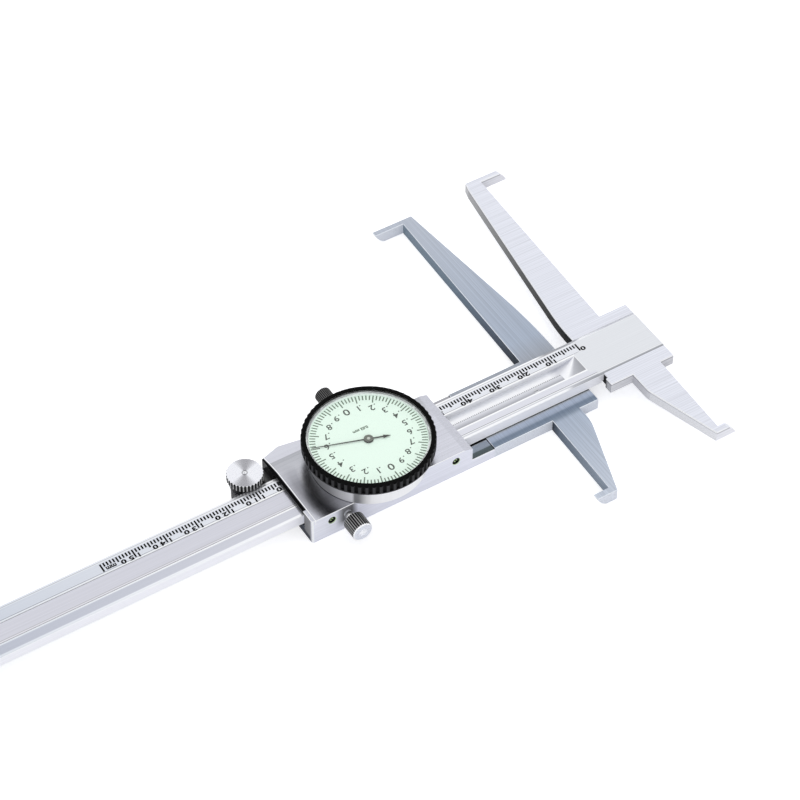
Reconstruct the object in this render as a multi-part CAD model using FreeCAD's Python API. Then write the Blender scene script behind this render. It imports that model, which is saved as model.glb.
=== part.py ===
import FreeCAD, Part
import math
import os

# Inside groove dial caliper, 9 to 150 mm over the tips, dial of 2 mm per turn read to 0.02 mm.
# Frame: X runs along the scale from its zero line to the tail, Y runs from the long jaws to
# the short jaws, Z is up out of the dial. The origin is on the beam's top face and the groove's
# centre line, at the scale's zero line. The slider is drawn where the dial stands at 48.8 mm.

V = FreeCAD.Vector
Y_AXIS = V(0, 1, 0)
Z_AXIS = V(0, 0, 1)

# Reading
reading = 48.8              # distance over the tips in the drawn position
largest_reading = 150.0

# Beam
beam_width = 16.0
beam_thickness = 3.8
beam_centre_y = -0.7        # the groove lies nearer the clamp side, to leave room for the scale
beam_bevel_width = 1.1
beam_bevel_drop = 0.25
head_thickness = 3.0        # the head is thinner, let into the fixed jaws' plate
beam_tail = 4.6             # beam left behind the slider's end stop at full reach

# Groove in the beam's face, with the run-out that its cutter leaves
groove_half_width = 3.25
groove_depth = 1.8
groove_start = 2.7
groove_cutter_radius = 15.7

# Rack
rack_pitch = 0.625
rack_tip_y = 0.1
rack_thickness = 0.8
rack_length = 165.0
rack_tooth_height = 0.40
rack_tip_width = 0.16
rack_root_width = 0.34
rack_side_gap = 0.02
rack_screw_pitch = 51.0
rack_screw_inset = 9.7
rack_screw_head_radius = 0.85
rack_screw_radius = 0.5
rack_screw_depth = 0.7

# Fixed jaws, one plate that the beam's head is let into
block_length = 22.6
block_near_y = 12.1
block_far_y = -12.8
jaw_thickness = 3.8
tip_land = 0.3              # upright part of a measuring edge
tip_slope = 3.4             # how far a tip draws back over the jaw's thickness
tip_crown = 0.55            # how far its back bulges from a straight slope
jaw_screw_spacing = 11.6
jaw_screw_row = 4.5
jaw_screw_radius = 1.2
jaw_screw_head_radius = 1.95
jaw_screw_grip = 2.2
relief_depth = 0.7          # cut back beside the beam, where the block's end can't be ground
relief_width = 2.1
edge_break = 0.14           # small bevel along the ground faces' outlines

# Long jaws
long_end_y = -83.2
long_foot_width = 1.85
fixed_long_edge_x = -24.65
fixed_long_root_x = (-12.9, -0.45)
fixed_long_heel = (-15.1, -10.4)
fixed_long_taper_y = -16.0
fixed_long_heel_cut = 3.0
fixed_long_heel_bulge = 0.35
fixed_long_bend_radius = 70.0
moving_long_root_x = (3.75, 15.75)
moving_long_heel = (9.9, 13.9)
moving_long_taper_y = -26.5
moving_long_bend_radius = 200.0

# Short jaws
short_end_y = 43.9
short_foot_width = 2.1
fixed_short_edge_x = -22.1
fixed_short_root_x = (-17.75, -7.8)
fixed_short_heel = (-16.85, -15.1)
fixed_short_taper_y = 19.8
fixed_short_bend_radius = 6.0
moving_short_root_x = (11.0, 20.7)
moving_short_heel = (19.8, 21.5)
moving_short_taper_y = 18.0
moving_short_bend_radius = 16.0

# Jaw plate under the beam, with the tongue that closes the slider's back
layer_gap = 0.15            # between the fixed jaws and the jaw plate that crosses under them
plate_thickness = 3.95
plate_start_x = 4.4
plate_joint_x = 41.0
tongue_drop = 0.45          # the tongue's ends lie lower than the plate
tongue_low_end = 1.7
tongue_flange = 1.9         # height of the flange that the tongue's screws pass through
flange_inset = 1.2          # from the slider's sides to the flange's
plate_screw_inset_y = 1.15
plate_screw_inset = 9.0
plate_screw_count = 3
plate_screw_radius = 0.7
plate_screw_head_radius = 1.1
plate_screw_length = 4.5

# Slider
slide_gap = 0.04
slider_length = 53.9
slider_top = 1.3
slider_near_y = 12.1
slider_far_y = -12.8
edge_bevel_length = 2.9
edge_thickness = 0.4
corner_radius = 0.8         # upright corner at the tail, on the near side
gib_thickness = 0.42
gib_height = 2.2
gib_margin = 3.0
lug_points = ((78.0, -12.8), (89.7, -16.85), (96.4, -18.0), (102.7, -16.0))
lug_slope_start = -13.2
lug_slope_drop = 0.35

# Screws on the slider's near side
side_screw_z = -1.7
gib_screw_x = (54.4, 96.1)
gib_screw_radius = 1.05
gib_screw_sink = 0.45
gib_screw_slot = 0.42
gib_hole_chamfer = 0.3
clamp_x = 91.0
clamp_thread_radius = 1.2
clamp_neck_radius = 1.0
clamp_bead_radius = 1.5
clamp_head_radius = 3.2
clamp_head_start = 14.9
clamp_head_end = 20.5
knurl_depth = 0.16
small_knurl_count = 28
head_rim = 0.4

# Thumb roller and its bracket
roller_x = 109.85
roller_radius = 5.45
roller_rim_height = 2.15
roller_top = 2.2
roller_drum_height = 2.45
roller_drum_inset = 0.79    # the rim reaches over the beam's bevel, the drum rolls on its side
roller_knurls = 32
roller_knurl_depth = 0.3
roller_floor = 1.0
dimple_radius = 0.7
dimple_depth = 0.25
axle_radius = 1.15
axle_head = 0.6
axle_head_width = 0.8
bracket_gap = 0.12
bracket_arm_thickness = 4.0
bracket_end_x = 114.6
bracket_far_y = -16.6
bracket_lug_inset = 0.4     # the arm lies inside the lug's outline
bracket_corner_radius = 3.6
bracket_tongue_length = 5.3  # let into the slider's end
bracket_tongue_y = (-15.2, -11.8)
bracket_screw_radius = 0.6
bracket_screw_head_radius = 0.95
bracket_screw_reach = 2.2
bracket_screw_spacing = 2.5

# Dial housing and bezel
dial_x = 76.55
housing_radius = 17.3
housing_wall = 1.5
housing_floor = 1.0
housing_top = 9.05
foot_undercut = 0.2         # turned corner at the housing's foot
bezel_width = 2.1           # how far the bezel stands out from the housing
bezel_bore_step = 0.6       # from the housing's wall out to the bezel's bore
bezel_bottom = 7.9
bezel_top = 11.2
bezel_scallops = 60
scallop_depth = 0.35
scallop_radius = 0.85
scallop_stop = 0.45         # plain rims left above and below the grip
bezel_top_slope = 0.35
turn_gap = 0.08
dial_face_thickness = 0.35
dial_face_gap = 0.1
seat_gap = 0.05
spacer_width = 0.7
spacer_height = 0.75
crystal_thickness = 0.8
crystal_chamfer = 0.15

# Screws inside the housing
housing_screw_inset = 4.3   # from the housing's inner wall
housing_screw_angles = (30.0, 150.0, 285.0)
housing_screw_radius = 0.6
housing_screw_head_radius = 1.2
housing_screw_head = 0.7
housing_screw_reach = 2.1

# Bezel lock screw
lock_z = 4.7
lock_boss_radius = 2.2
lock_boss_length = 2.3
lock_thread_radius = 0.9
lock_head_radius = 2.5
lock_head_gap = 0.4
lock_head_length = 6.2

# Gear train
pinion_teeth = 16
pinion_height = 0.75
pinion_tooth_height = 0.36
gear_wall_gap = 0.785       # between the driven wheel's tips and the housing
gear_teeth = 90
centre_teeth = 18
gear_tooth_height = 0.27
gear_height = 0.5
gear_z = 4.0
gear_split = 0.12           # between the driven wheel and its sprung twin
tooth_tip_share = 0.18      # share of a tooth's pitch taken by its tip
tooth_root_share = 0.42
mesh_gap = 0.03
rack_mesh_gap = 0.05
drive_shaft_radius = 0.6
centre_shaft_radius = 0.5
bush_radius = 1.2
shaft_gap = 0.03
gear_hub_radius = 1.6
spring_radius = 4.2
spring_wire = 0.35
spring_gap_angle = 50.0
spring_post_radius = 0.3

# Bridge over the train
bridge_z = 6.4
bridge_thickness = 0.9
bridge_wall_gap = 1.5
pillar_inset = 1.7          # from the bridge's rim
bridge_window_x = 1.0
bridge_window_y = 3.2
pillar_angles = (0.0, 110.0, 260.0)
pillar_radius = 1.3
bridge_screw_radius = 0.5
bridge_screw_head_radius = 0.95
bridge_screw_head = 0.45
bridge_screw_reach = 1.6

# Pointer
pointer_rim_gap = 1.3       # between the pointer's tip and the bezel's bore
pointer_tail = 6.5
pointer_thickness = 0.15
pointer_clearance = 0.22
pointer_hub_radius = 1.45
pointer_hub_height = 0.3
pointer_root_width = 0.62
pointer_tip_width = 0.16
pointer_head_length = 2.2
pointer_head_width = 1.1
pointer_angle = -19.2

# Rack cover and its rivets
cover_half_width = 3.15
cover_thickness = 0.5
cover_drop = 0.05
cover_start_x = 88.0
cover_end_gap = 1.0
cover_pad_length = 10.0
rivet_radius = 0.6
rivet_inset = 2.5
rivet_pitch = 5.0
rivet_reach = 1.0

# End stop under the beam's tail
stop_length = 4.0
stop_half_width = 6.0
stop_thickness = 2.4
stop_screw_row = 3.5
stop_screw_radius = 0.8
stop_screw_head_radius = 1.4
stop_screw_length = 4.2

# Places worked out from the sizes above
beam_near_y = beam_centre_y + beam_width / 2
beam_far_y = beam_centre_y - beam_width / 2
travel_out = largest_reading - reading
slider_start_x = reading
slider_end_x = slider_start_x + slider_length
stop_face_x = slider_end_x + travel_out + 0.3
beam_end_x = stop_face_x + beam_tail
groove_run = math.sqrt(groove_cutter_radius ** 2 - (groove_cutter_radius - groove_depth) ** 2)
rack_start_x = groove_start + groove_run
rack_top = rack_thickness - groove_depth
plate_top = -jaw_thickness - layer_gap
plate_bottom = plate_top - plate_thickness
tongue_low_z = plate_top - tongue_drop
tongue_high_z = -beam_thickness - slide_gap
near_wall_y = beam_near_y + slide_gap + gib_thickness
far_wall_y = beam_far_y - slide_gap
flange_near_y = slider_near_y - flange_inset
flange_far_y = slider_far_y + flange_inset
roller_drum_radius = roller_radius - roller_drum_inset
roller_y = far_wall_y - roller_drum_radius
housing_bottom = slider_top
floor_top = housing_bottom + housing_floor
housing_inner = housing_radius - housing_wall
bezel_radius = housing_radius + bezel_width
bezel_bore = housing_radius + bezel_bore_step
lock_boss_end = -housing_radius - lock_boss_length
lock_head_start = lock_boss_end - lock_head_gap
bridge_radius = housing_inner - bridge_wall_gap
pinion_pitch_radius = rack_pitch * pinion_teeth / (2 * math.pi)
pinion_tip_radius = pinion_pitch_radius + rack_tooth_height / 2
rack_pitch_y = rack_tip_y + rack_tooth_height / 2
drive_y = rack_pitch_y - pinion_pitch_radius - rack_mesh_gap
gear_module = ((housing_inner - gear_wall_gap - mesh_gap - gear_tooth_height / 2)
               / (gear_teeth + centre_teeth / 2))
centre_distance = gear_module * (gear_teeth + centre_teeth) / 2 + mesh_gap
drive_x = dial_x - math.sqrt(centre_distance ** 2 - drive_y ** 2)
pinion_bottom = -groove_depth + 0.1
face_bottom = housing_top + dial_face_gap
face_top = face_bottom + dial_face_thickness
pointer_z = face_top + pointer_clearance
crystal_bottom = face_top + spacer_height
pointer_reach = bezel_bore - pointer_rim_gap


# Shapes used again and again
def box(x0, x1, y0, y1, z0, z1):
    return Part.makeBox(x1 - x0, y1 - y0, z1 - z0, V(x0, y0, z0))


def rod(x, y, z0, z1, radius):
    return Part.makeCylinder(radius, z1 - z0, V(x, y, z0), Z_AXIS)


def rod_y(x, z, y0, y1, radius):
    return Part.makeCylinder(radius, y1 - y0, V(x, y0, z), Y_AXIS)


def tube(x, y, z0, z1, outer, inner):
    return rod(x, y, z0, z1, outer).cut(rod(x, y, z0 - 1, z1 + 1, inner))


def prism(points, z0, z1):
    """Upright prism over an outline of straight edges."""
    corners = [V(x, y, z0) for x, y in points]
    face = Part.Face(Part.makePolygon(corners + [corners[0]]))
    return face.extrude(V(0, 0, z1 - z0))


def prism_x(points, x0, x1):
    """Prism along X over an outline of (y, z) points."""
    corners = [V(x0, y, z) for y, z in points]
    face = Part.Face(Part.makePolygon(corners + [corners[0]]))
    return face.extrude(V(x1 - x0, 0, 0))


def prism_y(points, y0, y1):
    """Prism along Y over an outline of (x, z) points."""
    corners = [V(x, y0, z) for x, z in points]
    face = Part.Face(Part.makePolygon(corners + [corners[0]]))
    return face.extrude(V(0, y1 - y0, 0))


def turned(profile, x, y):
    """Solid of revolution about an upright axis, from (radius, z) points."""
    corners = [V(x + r, y, z) for r, z in profile]
    face = Part.Face(Part.makePolygon(corners + [corners[0]]))
    return face.revolve(V(x, y, 0), Z_AXIS, 360)


def turned_y(profile, x, z):
    """Solid of revolution about an axis along Y, from (radius, y) points."""
    corners = [V(x + r, y, z) for r, y in profile]
    face = Part.Face(Part.makePolygon(corners + [corners[0]]))
    return face.revolve(V(x, 0, z), Y_AXIS, 360)


def joined(shapes):
    whole = shapes[0]
    for piece in shapes[1:]:
        whole = whole.fuse(piece)
    return whole.removeSplitter()


def rounded_outline(points, radii):
    """Wire through the points, with an arc at each point that has a radius."""
    count = len(points)
    edges = []
    starts = []
    ends = []
    middles = []
    for i in range(count):
        here = V(points[i][0], points[i][1], 0)
        before = V(points[i - 1][0], points[i - 1][1], 0).sub(here).normalize()
        after = V(points[(i + 1) % count][0], points[(i + 1) % count][1], 0).sub(here).normalize()
        radius = radii.get(i, 0)
        if radius:
            half = before.getAngle(after) / 2
            reach = radius / math.tan(half)
            bisector = before.add(after).normalize()
            starts.append(here.add(before.multiply(reach)))
            ends.append(here.add(after.multiply(reach)))
            middles.append(here.add(bisector.multiply(radius / math.sin(half) - radius)))
        else:
            starts.append(here)
            ends.append(here)
            middles.append(None)
    for i in range(count):
        if middles[i] is not None:
            edges.append(Part.Arc(starts[i], middles[i], ends[i]).toShape())
        edges.append(Part.LineSegment(ends[i], starts[(i + 1) % count]).toShape())
    return Part.Wire(edges)


def plate(points, radii, z0, z1):
    wire = rounded_outline(points, radii)
    wire.translate(V(0, 0, z0))
    return Part.Face(wire).extrude(V(0, 0, z1 - z0))


def ring_of_teeth(x, y, z0, z1, pitch_radius, teeth, height, tip_share, root_share, phase):
    """Toothed disc with straight-sided teeth, the first one centred at the phase angle."""
    step = 2 * math.pi / teeth
    tip_radius = pitch_radius + height / 2
    root_radius = pitch_radius - height / 2
    points = []
    for i in range(teeth):
        middle = phase + i * step
        for radius, share in ((root_radius, -root_share), (tip_radius, -tip_share),
                              (tip_radius, tip_share), (root_radius, root_share)):
            angle = middle + share * step / 2 * (2 * math.pi * pitch_radius / teeth) / (step * radius)
            points.append((x + radius * math.cos(angle), y + radius * math.sin(angle)))
    return prism(points, z0, z1)


def knurled_rod_y(x, z, y0, y1, radius, count, depth):
    """Rod along Y with V-shaped grooves along its whole length."""
    points = []
    for i in range(2 * count):
        r = radius if i % 2 == 0 else radius - depth
        angle = math.pi * i / count
        points.append((x + r * math.cos(angle), z + r * math.sin(angle)))
    return prism_y(points, y0, y1)


def edges_at(shape, z):
    return [edge for edge in shape.Edges
            if abs(edge.BoundBox.ZMin - z) < 0.001 and abs(edge.BoundBox.ZMax - z) < 0.001]


def broken_edges(shape, z):
    """The shape with a small bevel along its edges in the plane at height z."""
    return shape.makeChamfer(edge_break, edges_at(shape, z))


# Beam
def beam():
    outline = [(beam_far_y, -beam_bevel_drop), (beam_far_y + beam_bevel_width, 0),
               (beam_near_y - beam_bevel_width, 0), (beam_near_y, -beam_bevel_drop),
               (beam_near_y, -beam_thickness), (beam_far_y, -beam_thickness)]
    bar = prism_x(outline, -block_length, beam_end_x)
    bar = bar.cut(box(-block_length - 1, 0, beam_far_y - 1, beam_near_y + 1,
                      -beam_thickness - 1, -head_thickness))
    cutter = rod_y(rack_start_x, groove_cutter_radius - groove_depth,
                   -groove_half_width, groove_half_width, groove_cutter_radius)
    above = box(groove_start - 1, rack_start_x, -groove_half_width, groove_half_width,
                -groove_depth, 1)
    run_out = cutter.common(above)
    slot = box(rack_start_x, beam_end_x + 1, -groove_half_width, groove_half_width,
               -groove_depth, 1)
    bar = bar.cut(joined([run_out, slot]))
    for x in rack_screw_places():
        bar = bar.cut(rod(x, rack_screw_y(), -groove_depth - rack_screw_depth, 0, rack_screw_radius))
    for x, y in jaw_screw_places():
        bar = bar.cut(rod(x, y, -head_thickness - 1, -jaw_screw_tip_depth(), jaw_screw_radius))
    for x, y in stop_screw_places():
        bar = bar.cut(rod(x, y, -beam_thickness - 1, stop_screw_tip(), stop_screw_radius))
    return bar


# Rack, held in the groove by countersunk screws
def rack_screw_places():
    count = int((rack_length - 2 * rack_screw_inset) / rack_screw_pitch) + 1
    return [rack_start_x + rack_screw_inset + i * rack_screw_pitch for i in range(count)]


def rack_screw_y():
    return (rack_tip_y + rack_tooth_height + groove_half_width) / 2


def rack():
    teeth = int(rack_length / rack_pitch)
    root_y = rack_tip_y + rack_tooth_height
    back_y = groove_half_width - rack_side_gap
    points = [(rack_start_x, back_y), (rack_start_x, root_y)]
    for i in range(teeth):
        middle = rack_start_x + (i + 0.5) * rack_pitch
        points.append((middle - rack_root_width / 2, root_y))
        points.append((middle - rack_tip_width / 2, rack_tip_y))
        points.append((middle + rack_tip_width / 2, rack_tip_y))
        points.append((middle + rack_root_width / 2, root_y))
    end_x = rack_start_x + teeth * rack_pitch
    points += [(end_x, root_y), (end_x, back_y)]
    strip = prism(points, -groove_depth, rack_top)
    for x in rack_screw_places():
        strip = strip.cut(rack_screw(x))
    return strip


def rack_screw(x):
    sink = rack_screw_head_radius - rack_screw_radius
    profile = [(0, -groove_depth - rack_screw_depth), (rack_screw_radius, -groove_depth - rack_screw_depth),
               (rack_screw_radius, rack_top - sink), (rack_screw_head_radius, rack_top), (0, rack_top)]
    return turned(profile, x, rack_screw_y())


def rack_screws():
    slot = 0.25
    screws = []
    for x in rack_screw_places():
        y = rack_screw_y()
        cut = box(x - rack_screw_head_radius, x + rack_screw_head_radius, y - slot / 2, y + slot / 2,
                  rack_top - slot, rack_top + 1)
        screws.append(rack_screw(x).cut(cut))
    return Part.makeCompound(screws)


# Fixed jaws
def foot(edge_x, heel_x, y0, y1, edge_at_top, z_top, z_bottom):
    """Measuring foot whose end is drawn back on one side, down to a narrow upright land."""
    outward = 1 if edge_x > heel_x else -1
    back_x = edge_x - outward * tip_slope
    z_edge, z_back = (z_top, z_bottom) if edge_at_top else (z_bottom, z_top)
    z_land = z_edge + math.copysign(tip_land, z_back - z_edge)
    corners = [V(back_x, y0, z_back), V(heel_x, y0, z_back), V(heel_x, y0, z_edge), V(edge_x, y0, z_edge),
               V(edge_x, y0, z_land)]
    middle = corners[4].add(corners[0]).multiply(0.5)
    middle = middle.add(V(outward, 0, z_back - z_edge).normalize().multiply(tip_crown))
    edges = [Part.LineSegment(a, b).toShape() for a, b in zip(corners, corners[1:])]
    edges.append(Part.Arc(corners[4], middle, corners[0]).toShape())
    return Part.Face(Part.Wire(edges)).extrude(V(0, y1 - y0, 0))


def jaw_screw_places():
    middle = -block_length / 2
    half = jaw_screw_spacing / 2
    return [(middle + sx * half, beam_centre_y + sy * jaw_screw_row) for sx in (-1, 1) for sy in (-1, 1)]


def jaw_screw_tip_depth():
    return head_thickness - jaw_screw_grip


def countersunk(x, y, z_head, z_tip, radius, head_radius):
    """Countersunk screw driven upwards, its head flush at z_head."""
    sink = head_radius - radius
    profile = [(0, z_head), (head_radius, z_head), (radius, z_head + sink), (radius, z_tip), (0, z_tip)]
    return turned(profile, x, y)


def slotted_from_below(screw, x, y, z_head, head_radius):
    width = head_radius * 0.28
    depth = head_radius * 0.25
    slot = box(x - head_radius - 1, x + head_radius + 1, y - width / 2, y + width / 2,
               z_head - 1, z_head + depth)
    return screw.cut(slot)


def fixed_jaw():
    left, right = fixed_long_root_x
    block = prism([(-block_length, block_far_y), (right, block_far_y), (right, beam_far_y), (0, beam_far_y),
                   (0, block_near_y), (-block_length, block_near_y)], -jaw_thickness, 0)
    heel_left, heel_right = fixed_long_heel
    slope = (heel_right - right) / (long_end_y - fixed_long_taper_y)
    heel_top = long_end_y + fixed_long_heel_cut
    heel_top_x = right + slope * (heel_top - fixed_long_taper_y) + fixed_long_heel_bulge
    outline = [(left, block_far_y + 1), (heel_left, long_end_y), (heel_right, long_end_y),
               (heel_top_x, heel_top), (right, fixed_long_taper_y), (right, beam_far_y)]
    long_jaw = plate(outline, {4: fixed_long_bend_radius}, -jaw_thickness, 0)
    long_foot = foot(fixed_long_edge_x, heel_left + 1, long_end_y, long_end_y + long_foot_width,
                     False, 0, -jaw_thickness)
    left, right = fixed_short_root_x
    heel_left, heel_right = fixed_short_heel
    outline = [(left, block_near_y - 1), (right, block_near_y - 1), (right, fixed_short_taper_y),
               (heel_right, short_end_y), (heel_left, short_end_y)]
    short_jaw = plate(outline, {2: fixed_short_bend_radius}, -jaw_thickness, 0)
    short_foot = foot(fixed_short_edge_x, heel_left + 1, short_end_y - short_foot_width, short_end_y,
                      False, 0, -jaw_thickness)
    whole = joined([block, long_jaw, long_foot, short_jaw, short_foot])
    whole = broken_edges(whole, 0)
    seat = box(-block_length - 1, 1, beam_far_y, beam_near_y, -head_thickness, 1)
    relief = box(-relief_depth, 1, beam_near_y - 1, beam_near_y + relief_width, -jaw_thickness - 1, 1)
    whole = whole.cut(seat).cut(relief)
    for x, y in jaw_screw_places():
        whole = whole.cut(countersunk(x, y, -jaw_thickness, -jaw_screw_tip_depth(), jaw_screw_radius,
                                      jaw_screw_head_radius))
    return whole


def fixed_jaw_screws():
    screws = []
    for x, y in jaw_screw_places():
        screw = countersunk(x, y, -jaw_thickness, -jaw_screw_tip_depth(), jaw_screw_radius,
                            jaw_screw_head_radius)
        screws.append(slotted_from_below(screw, x, y, -jaw_thickness, jaw_screw_head_radius))
    return Part.makeCompound(screws)


# Moving jaws, a plate that passes under the beam and closes the slider's back
def plate_screw_places():
    first = slider_start_x + plate_screw_inset
    last = slider_end_x - plate_screw_inset
    step = (last - first) / (plate_screw_count - 1)
    return [(first + i * step, y) for i in range(plate_screw_count)
            for y in (flange_near_y - plate_screw_inset_y, flange_far_y + plate_screw_inset_y)]


def moving_jaw():
    body = box(plate_start_x, plate_joint_x, slider_far_y, slider_near_y, plate_bottom, plate_top)
    tongue_low = box(plate_joint_x - 1, slider_end_x, far_wall_y, near_wall_y, plate_bottom, tongue_low_z)
    tongue_high = box(slider_start_x + tongue_low_end, slider_end_x - tongue_low_end,
                      far_wall_y, near_wall_y, plate_bottom, tongue_high_z)
    flange = box(slider_start_x, slider_end_x, flange_far_y, flange_near_y,
                 plate_bottom, plate_bottom + tongue_flange)
    left, right = moving_long_root_x
    heel_left, heel_right = moving_long_heel
    outline = [(left, slider_far_y + 1), (left, moving_long_taper_y), (heel_left, long_end_y),
               (heel_right, long_end_y), (right, slider_far_y + 1)]
    long_jaw = plate(outline, {1: moving_long_bend_radius}, plate_bottom, plate_top)
    edge_x = reading + fixed_long_edge_x
    long_foot = foot(edge_x, heel_right - 1, long_end_y, long_end_y + long_foot_width,
                     True, plate_top, plate_bottom)
    left, right = moving_short_root_x
    heel_left, heel_right = moving_short_heel
    outline = [(left, slider_near_y - 1), (right, slider_near_y - 1), (heel_right, short_end_y),
               (heel_left, short_end_y), (left, moving_short_taper_y)]
    short_jaw = plate(outline, {4: moving_short_bend_radius}, plate_bottom, plate_top)
    edge_x = reading + fixed_short_edge_x
    short_foot = foot(edge_x, heel_right - 1, short_end_y - short_foot_width, short_end_y,
                      True, plate_top, plate_bottom)
    plate_and_jaws = broken_edges(joined([body, long_jaw, long_foot, short_jaw, short_foot]), plate_top)
    whole = joined([plate_and_jaws, tongue_low, tongue_high, flange])
    for x, y in plate_screw_places():
        whole = whole.cut(plate_screw(x, y))
    return whole


def plate_screw(x, y):
    return countersunk(x, y, plate_bottom, plate_bottom + plate_screw_length, plate_screw_radius,
                       plate_screw_head_radius)


def jaw_plate_screws():
    return Part.makeCompound([slotted_from_below(plate_screw(x, y), x, y, plate_bottom,
                                                 plate_screw_head_radius)
                              for x, y in plate_screw_places()])


# Slider frame
def slider_frame():
    top = box(slider_start_x, slider_end_x, slider_far_y, slider_near_y, slide_gap, slider_top)
    near_wall = box(slider_start_x, slider_end_x, near_wall_y, slider_near_y, plate_bottom, slider_top)
    far_wall = box(slider_start_x, slider_end_x, slider_far_y, far_wall_y, plate_bottom, slider_top)
    near_arm = box(plate_joint_x, slider_start_x, near_wall_y, slider_near_y, plate_bottom, tongue_low_z)
    far_arm = box(plate_joint_x, slider_start_x, slider_far_y, far_wall_y, plate_bottom, tongue_low_z)
    lug_outline = list(lug_points) + [(slider_end_x, slider_far_y)]
    lug = prism([(min(x, slider_end_x), y) for x, y in lug_outline], plate_bottom, slider_top)
    far_reach = min(y for x, y in lug_points) - 1
    drop = lug_slope_drop * (lug_slope_start - far_reach) / (lug_slope_start - far_reach - 1)
    slope = prism_x([(lug_slope_start, slider_top), (far_reach, slider_top - drop),
                     (far_reach, slider_top + 1), (lug_slope_start, slider_top + 1)],
                    slider_start_x, slider_end_x + 1)
    pad = box(cover_start_x, cover_start_x + cover_pad_length, -cover_half_width, cover_half_width,
              -cover_drop, slide_gap)
    whole = joined([top, near_wall, far_wall, near_arm, far_arm, lug, pad])
    corner = [edge for edge in whole.Edges if edge.BoundBox.XMin > slider_end_x - 0.001
              and edge.BoundBox.YMin > slider_near_y - 0.001]
    whole = whole.makeFillet(corner_radius, corner)
    arm_edges = [edge for edge in edges_at(whole, tongue_low_z) if edge.BoundBox.YLength < 0.001]
    whole = broken_edges(whole, slider_top).makeChamfer(edge_break, arm_edges).cut(slope)
    bevel = prism_y([(slider_start_x - 1, edge_thickness), (slider_start_x, edge_thickness),
                     (slider_start_x + edge_bevel_length, slider_top),
                     (slider_start_x + edge_bevel_length, slider_top + 1),
                     (slider_start_x - 1, slider_top + 1)], slider_far_y - 1, slider_near_y + 1)
    whole = whole.cut(bevel)
    flange_room = box(slider_start_x, slider_end_x, flange_far_y, flange_near_y,
                      plate_bottom, plate_bottom + tongue_flange)
    whole = whole.cut(flange_room)
    for x, y in plate_screw_places():
        whole = whole.cut(plate_screw(x, y))
    for x in gib_screw_x:
        whole = whole.cut(rod_y(x, side_screw_z, near_wall_y - 1, slider_near_y + 1, gib_screw_radius))
        mouth = gib_screw_radius + gib_hole_chamfer
        whole = whole.cut(turned_y([(0, slider_near_y - gib_hole_chamfer),
                                    (gib_screw_radius, slider_near_y - gib_hole_chamfer),
                                    (mouth, slider_near_y), (0, slider_near_y)], x, side_screw_z))
    whole = whole.cut(rod_y(clamp_x, side_screw_z, near_wall_y - 1, slider_near_y + 1,
                            clamp_thread_radius + shaft_gap))
    whole = whole.cut(rod(drive_x, drive_y, -1, slider_top + 1, pinion_tip_radius + 0.3))
    for x, y in housing_screw_places():
        whole = whole.cut(rod(x, y, floor_top - housing_screw_reach, slider_top + 1,
                              housing_screw_radius))
    for x in rivet_places():
        whole = whole.cut(rod(x, 0, -1, rivet_top(), rivet_radius))
    whole = whole.cut(bracket_tongue())
    for x, y in bracket_screw_places():
        whole = whole.cut(bracket_screw(x, y))
    return whole


# Gib strip between the beam and the slider's near wall, with its two set screws
def gib_strip():
    y0 = beam_near_y + slide_gap
    return box(slider_start_x + gib_margin, slider_end_x - gib_margin, y0, near_wall_y,
               side_screw_z - gib_height / 2, side_screw_z + gib_height / 2)


def gib_screws():
    screws = []
    end_y = slider_near_y - gib_screw_sink
    for x in gib_screw_x:
        screw = rod_y(x, side_screw_z, near_wall_y, end_y, gib_screw_radius)
        slot = box(x - gib_screw_slot / 2, x + gib_screw_slot / 2, end_y - gib_screw_slot, end_y + 1,
                   side_screw_z - gib_screw_radius - 1, side_screw_z + gib_screw_radius + 1)
        slot.rotate(V(x, end_y, side_screw_z), Y_AXIS, 35)
        screws.append(screw.cut(slot))
    return Part.makeCompound(screws)


# Knurled screws that are turned by hand
def hand_head(x, z, y0, y1, radius):
    """Knurled head along Y with turned rims at its two ends."""
    low, high = min(y0, y1), max(y0, y1)
    grip = knurled_rod_y(x, z, low, high, radius, small_knurl_count, knurl_depth)
    hull = turned_y([(0, low), (radius - head_rim, low), (radius, low + head_rim),
                     (radius, high - head_rim), (radius - head_rim, high), (0, high)], x, z)
    return grip.common(hull)


def clamp_screw():
    head = hand_head(clamp_x, side_screw_z, clamp_head_start, clamp_head_end, clamp_head_radius)
    thread = rod_y(clamp_x, side_screw_z, near_wall_y, slider_near_y, clamp_thread_radius)
    neck = rod_y(clamp_x, side_screw_z, slider_near_y - 0.5, clamp_head_start + 0.5, clamp_neck_radius)
    bead = Part.makeSphere(clamp_bead_radius,
                           V(clamp_x, slider_near_y + clamp_bead_radius - 0.3, side_screw_z))
    reach = 2 * clamp_bead_radius
    room = box(clamp_x - reach, clamp_x + reach, slider_near_y + slide_gap, clamp_head_start + 1,
               side_screw_z - reach, side_screw_z + reach)
    return joined([head, thread, neck, bead.common(room)])


def bezel_lock_screw():
    head = hand_head(dial_x, lock_z, lock_head_start - lock_head_length, lock_head_start, lock_head_radius)
    thread = rod_y(dial_x, lock_z, lock_head_start - 0.5, -housing_inner, lock_thread_radius)
    return joined([head, thread])


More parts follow.
